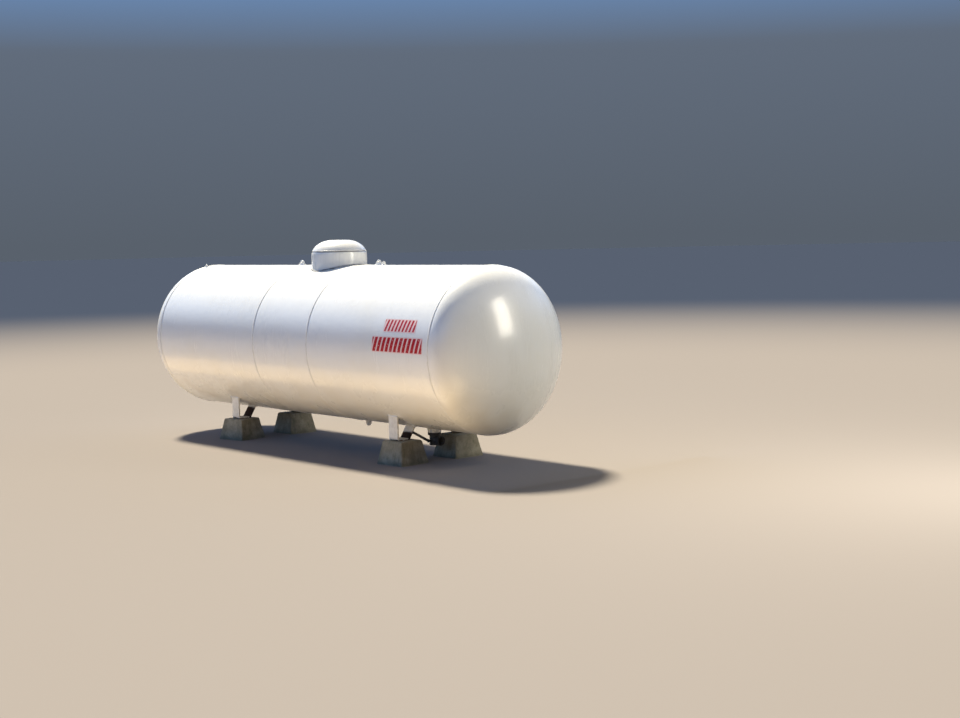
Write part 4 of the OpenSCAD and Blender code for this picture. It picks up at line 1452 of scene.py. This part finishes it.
def makeDial():
    x, y = crownFit["gauge"][:2]
    low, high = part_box("gauge_dial")
    r = (high.x - low.x) / 2
    faceR = dial["faceR"]
    face = high.z - dial["sunk"]
    profile = [(0, low.z), (r, low.z), (r, low.z + 0.003), (r - 0.0012, low.z + 0.0042),
               (r - 0.0012, high.z - 0.0052), (r, high.z - 0.0042), (r, high.z - 0.0008), (r - 0.0008, high.z),
               (faceR + 0.0006, high.z), (faceR, high.z - 0.0006), (faceR, face - 0.0002), (0, face - 0.0002)]
    finishPiece(turned(profile, x, y, 96), "dialBezel", "gauge_metal", ["gauge_dial"])
    disc = [(0, face), (faceR - 0.0001, face), (faceR - 0.0001, face - 0.0004), (0, face - 0.0004)]
    finishPiece(turned(disc, x, y), "dialFace", "dial_face")
    marks = bmesh.new()
    layMarks(marks, x, y, face)
    layNumbers(marks, x, y, face)
    finishPiece(marks, "dialMarks", "dial_face", material=dialInk)
    needle = bmesh.new()
    turn = Matrix.Translation((x, y, face + 0.0008)) @ Matrix.Rotation(math.radians(dial["needleAt"]), 4, "Z")
    flatTurn = Matrix.Translation((0.0048, 0, 0)) @ Matrix.Rotation(math.pi / 2, 4, "Y")
    bmesh.ops.create_cone(needle, cap_ends=True, segments=4, radius1=0.00075, radius2=0.0002,
                          depth=dial["needleLength"], matrix=turn @ flatTurn)
    joinInto(needle, turned([(0, face + 0.0001), (0.0018, face + 0.0001), (0.0018, face + 0.0012),
                             (0.0014, face + 0.0015), (0, face + 0.0015)], x, y, 32))
    finishPiece(needle, "dialNeedle", "wheel_paint")
    lensR = faceR - 0.0003
    lens = [(0, high.z - 0.0001), (faceR * 0.6, high.z - 0.00025), (lensR, high.z - 0.0007),
            (lensR, high.z - 0.0011), (0, high.z - 0.0009)]
    finishPiece(turned(lens, x, y), "dialLens", "dial_face", material=dialGlass)


def dialTurn(share):
    return math.radians(225 - dial["sweep"] * share)


def layMarks(bm, x, y, face):
    for i in range(dial["marks"]):
        long, wide = (0.0034, 0.0008) if i % 2 == 0 else (0.002, 0.0005)
        place = (Matrix.Translation((x, y, face + 0.0001))
                 @ Matrix.Rotation(dialTurn(i / (dial["marks"] - 1)), 4, "Z")
                 @ Matrix.Translation((dial["faceR"] - 0.0012 - long / 2, 0, 0))
                 @ Matrix.Diagonal((long, wide, 0.0003, 1)))
        bmesh.ops.create_cube(bm, size=1.0, matrix=place)


def layNumbers(bm, x, y, face):
    for i, label in enumerate(dial["numbers"]):
        turn = dialTurn((i + 0.5) / len(dial["numbers"]))
        letters = bpy.data.curves.new("dialNumber", "FONT")
        letters.body = label
        letters.size = dial["numberSize"]
        letters.align_x = "CENTER"
        letters.align_y = "CENTER"
        letters.extrude = 0.00008
        number = fromCurve(letters)
        ring = dial["numberRing"]
        moveTo(number, (x + ring * math.cos(turn), y + ring * math.sin(turn), face + 0.0001))
        joinInto(bm, number)


makeCrownCouplings()
makeBarrelValve("reliefValve", "relief", "relief_valve")
makeBarrelValve("fillValve", "fill", "fill_valve")
makeBarrelValve("vapourValve", "vapour", "vapour_valve")
makeReliefCap()
makeScrewCap("fillCap", "fill_cap", "fill", barrel["fillValve"]["r"], 24)
makeScrewCap("vapourCap", "vapour_cap", "vapour", barrel["vapourValve"]["r"], 18)
makeServiceValve()
makeHandwheel()
makePlug()
makeGauge()
makeDial()
print("crown valves made")


# Camera, lights and floor

cameraView = {
    "place": (9.5502, -6.9161, 1.5891),
    "yaw": 48.919,
    "pitch": 4.581,
    "roll": 1.228,
    "lens": 57.266,
}


def makeCamera():
    data = bpy.data.cameras.new("photoCamera")
    data.lens = cameraView["lens"]
    data.sensor_width = 36.0
    data.clip_end = 400.0
    camera = bpy.data.objects.new("photoCamera", data)
    turn = (Matrix.Rotation(math.radians(cameraView["yaw"]), 4, "Z")
            @ Matrix.Rotation(math.radians(90 - cameraView["pitch"]), 4, "X")
            @ Matrix.Rotation(math.radians(-cameraView["roll"]), 4, "Z"))
    camera.matrix_world = Matrix.Translation(cameraView["place"]) @ turn
    bpy.context.scene.collection.objects.link(camera)
    bpy.context.scene.camera = camera


studio = {
    "key": {"from": (-0.56, 0.147, 0.815), "softness": 7.0, "strength": 9.7, "colour": (1.0, 0.905, 0.69)},
    # Two low cards that face up, for the light off pale ground, and a strip beyond the right head
    "frontCard": {"size": (7.0, 0.6), "power": 20.0, "colour": (1.0, 0.685, 0.28),
                  "place": (-0.2, -1.05, 0.015), "aim": (-0.2, -1.05, 1.0)},
    "cornerCard": {"size": (1.4, 1.4), "power": 4.2, "colour": (1.0, 0.685, 0.28),
                   "place": (2.3, -1.3, 0.015), "aim": (2.3, -1.3, 1.0)},
    "sideStrip": {"size": (0.95, 2.3), "power": 112.0, "colour": (1.0, 0.94, 0.79),
                  "place": (5.3, 1.65, 2.45), "aim": (tipX, 0, axisZ)},
    "skyLevel": 2.0,
    # Colour of the sky at each share of the way from the horizon to straight up
    "skyRise": ((0.0, (0.05, 0.06, 0.075)), (0.12, (0.06, 0.075, 0.10)), (0.35, (0.13, 0.36, 0.79)),
                (0.7, (0.07, 0.1, 0.19)), (1.0, (0.05, 0.05, 0.05))),
    "flagPlace": (2.5, 0.3, 0.5),
    "flagSize": (1.05, 2.1),              # its height and width, metres
    "floor": (0.235, 0.212, 0.2, 1),
    "floorFar": (0.037, 0.048, 0.0765, 1),
    "floorR": 160.0,
    "paleOut": 8.0,                       # the floor is pale out to here, metres
    "farOut": 26.0,
}


def placeLamp(data, place, towards, seen=True):
    lamp = bpy.data.objects.new(data.name, data)
    lamp.location = place
    lamp.rotation_euler = (-towards).to_track_quat("Z", "Y").to_euler()
    lamp.visible_camera = seen
    bpy.context.scene.collection.objects.link(lamp)


def makeKeyLight():
    key = studio["key"]
    data = bpy.data.lights.new("overheadKey", "SUN")
    data.angle = math.radians(key["softness"])
    data.energy = key["strength"]
    data.color = key["colour"]
    towards = Vector(key["from"]).normalized()
    placeLamp(data, towards * 10, -towards)


def makeAreaLight(name):
    card = studio[name]
    data = bpy.data.lights.new(name, "AREA")
    data.shape = "RECTANGLE"
    data.size, data.size_y = card["size"]
    data.energy = card["power"]
    data.color = card["colour"]
    placeLamp(data, card["place"], Vector(card["aim"]) - Vector(card["place"]), seen=False)


def makeWorld():
    world = bpy.data.worlds.new("studioSky")
    world.use_nodes = True
    tree = world.node_tree
    direction = addNode(tree, "TexCoord").outputs["Generated"]
    parts = addNode(tree, "SeparateXYZ", {"Vector": direction}).outputs
    sky = addRamp(tree, parts["Z"], studio["skyRise"])
    # The sky is black beyond the right head, which keeps that end darker than the long side
    flag = times(tree, remap(tree, parts["X"], 0.3, 0.75), remap(tree, parts["Z"], 0.03, 0.2))
    feed(tree, tree.nodes["Background"].inputs,
         {"Color": mixColour(tree, flag, sky, (0, 0, 0, 1)), "Strength": studio["skyLevel"]})
    bpy.context.scene.world = world


def makeFloor():
    bm = bmesh.new()
    bmesh.ops.create_circle(bm, cap_ends=True, segments=96, radius=studio["floorR"])
    material, tree = newMaterial("Pale floor", Roughness=1.0, Specular_IOR_Level=0.0)
    place = addNode(tree, "TexCoord").outputs["Object"]
    far = addNode(tree, "VectorMath", {0: place}, operation="LENGTH").outputs["Value"]
    fade = remap(tree, far, studio["paleOut"], studio["farOut"])
    feed(tree, tree.nodes["Principled BSDF"].inputs,
         {"Base Color": mixColour(tree, fade, studio["floor"], studio["floorFar"])})
    floor = addObject(bm, "studioFloor", material)


# It stands beyond the right head and keeps the floor's light off it; it is in no picture and no reflection
def makeSideFlag():
    bm = bmesh.new()
    place = (Matrix.Translation(studio["flagPlace"]) @ Matrix.Rotation(math.pi / 2, 4, "Y")
             @ Matrix.Diagonal((*studio["flagSize"], 1, 1)))
    bmesh.ops.create_grid(bm, x_segments=1, y_segments=1, size=0.5, matrix=place)
    black = {"Base_Color": (0, 0, 0, 1), "Roughness": 1.0, "Specular_IOR_Level": 0.0}
    flag = addObject(bm, "sideFlag", newMaterial("Black flag", **black)[0])
    flag.visible_camera = False
    flag.visible_glossy = False
    flag.visible_shadow = False


makeCamera()
makeKeyLight()
makeAreaLight("frontCard")
makeAreaLight("cornerCard")
makeAreaLight("sideStrip")
makeWorld()
makeFloor()
makeSideFlag()
bpy.context.scene.view_settings.view_transform = "Standard"
print("camera and studio set")


# Finishes of the nodes that keep their own shape

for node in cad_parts.values():
    for holder in node.material_slots:
        holder.material = finishes[holder.material.name]
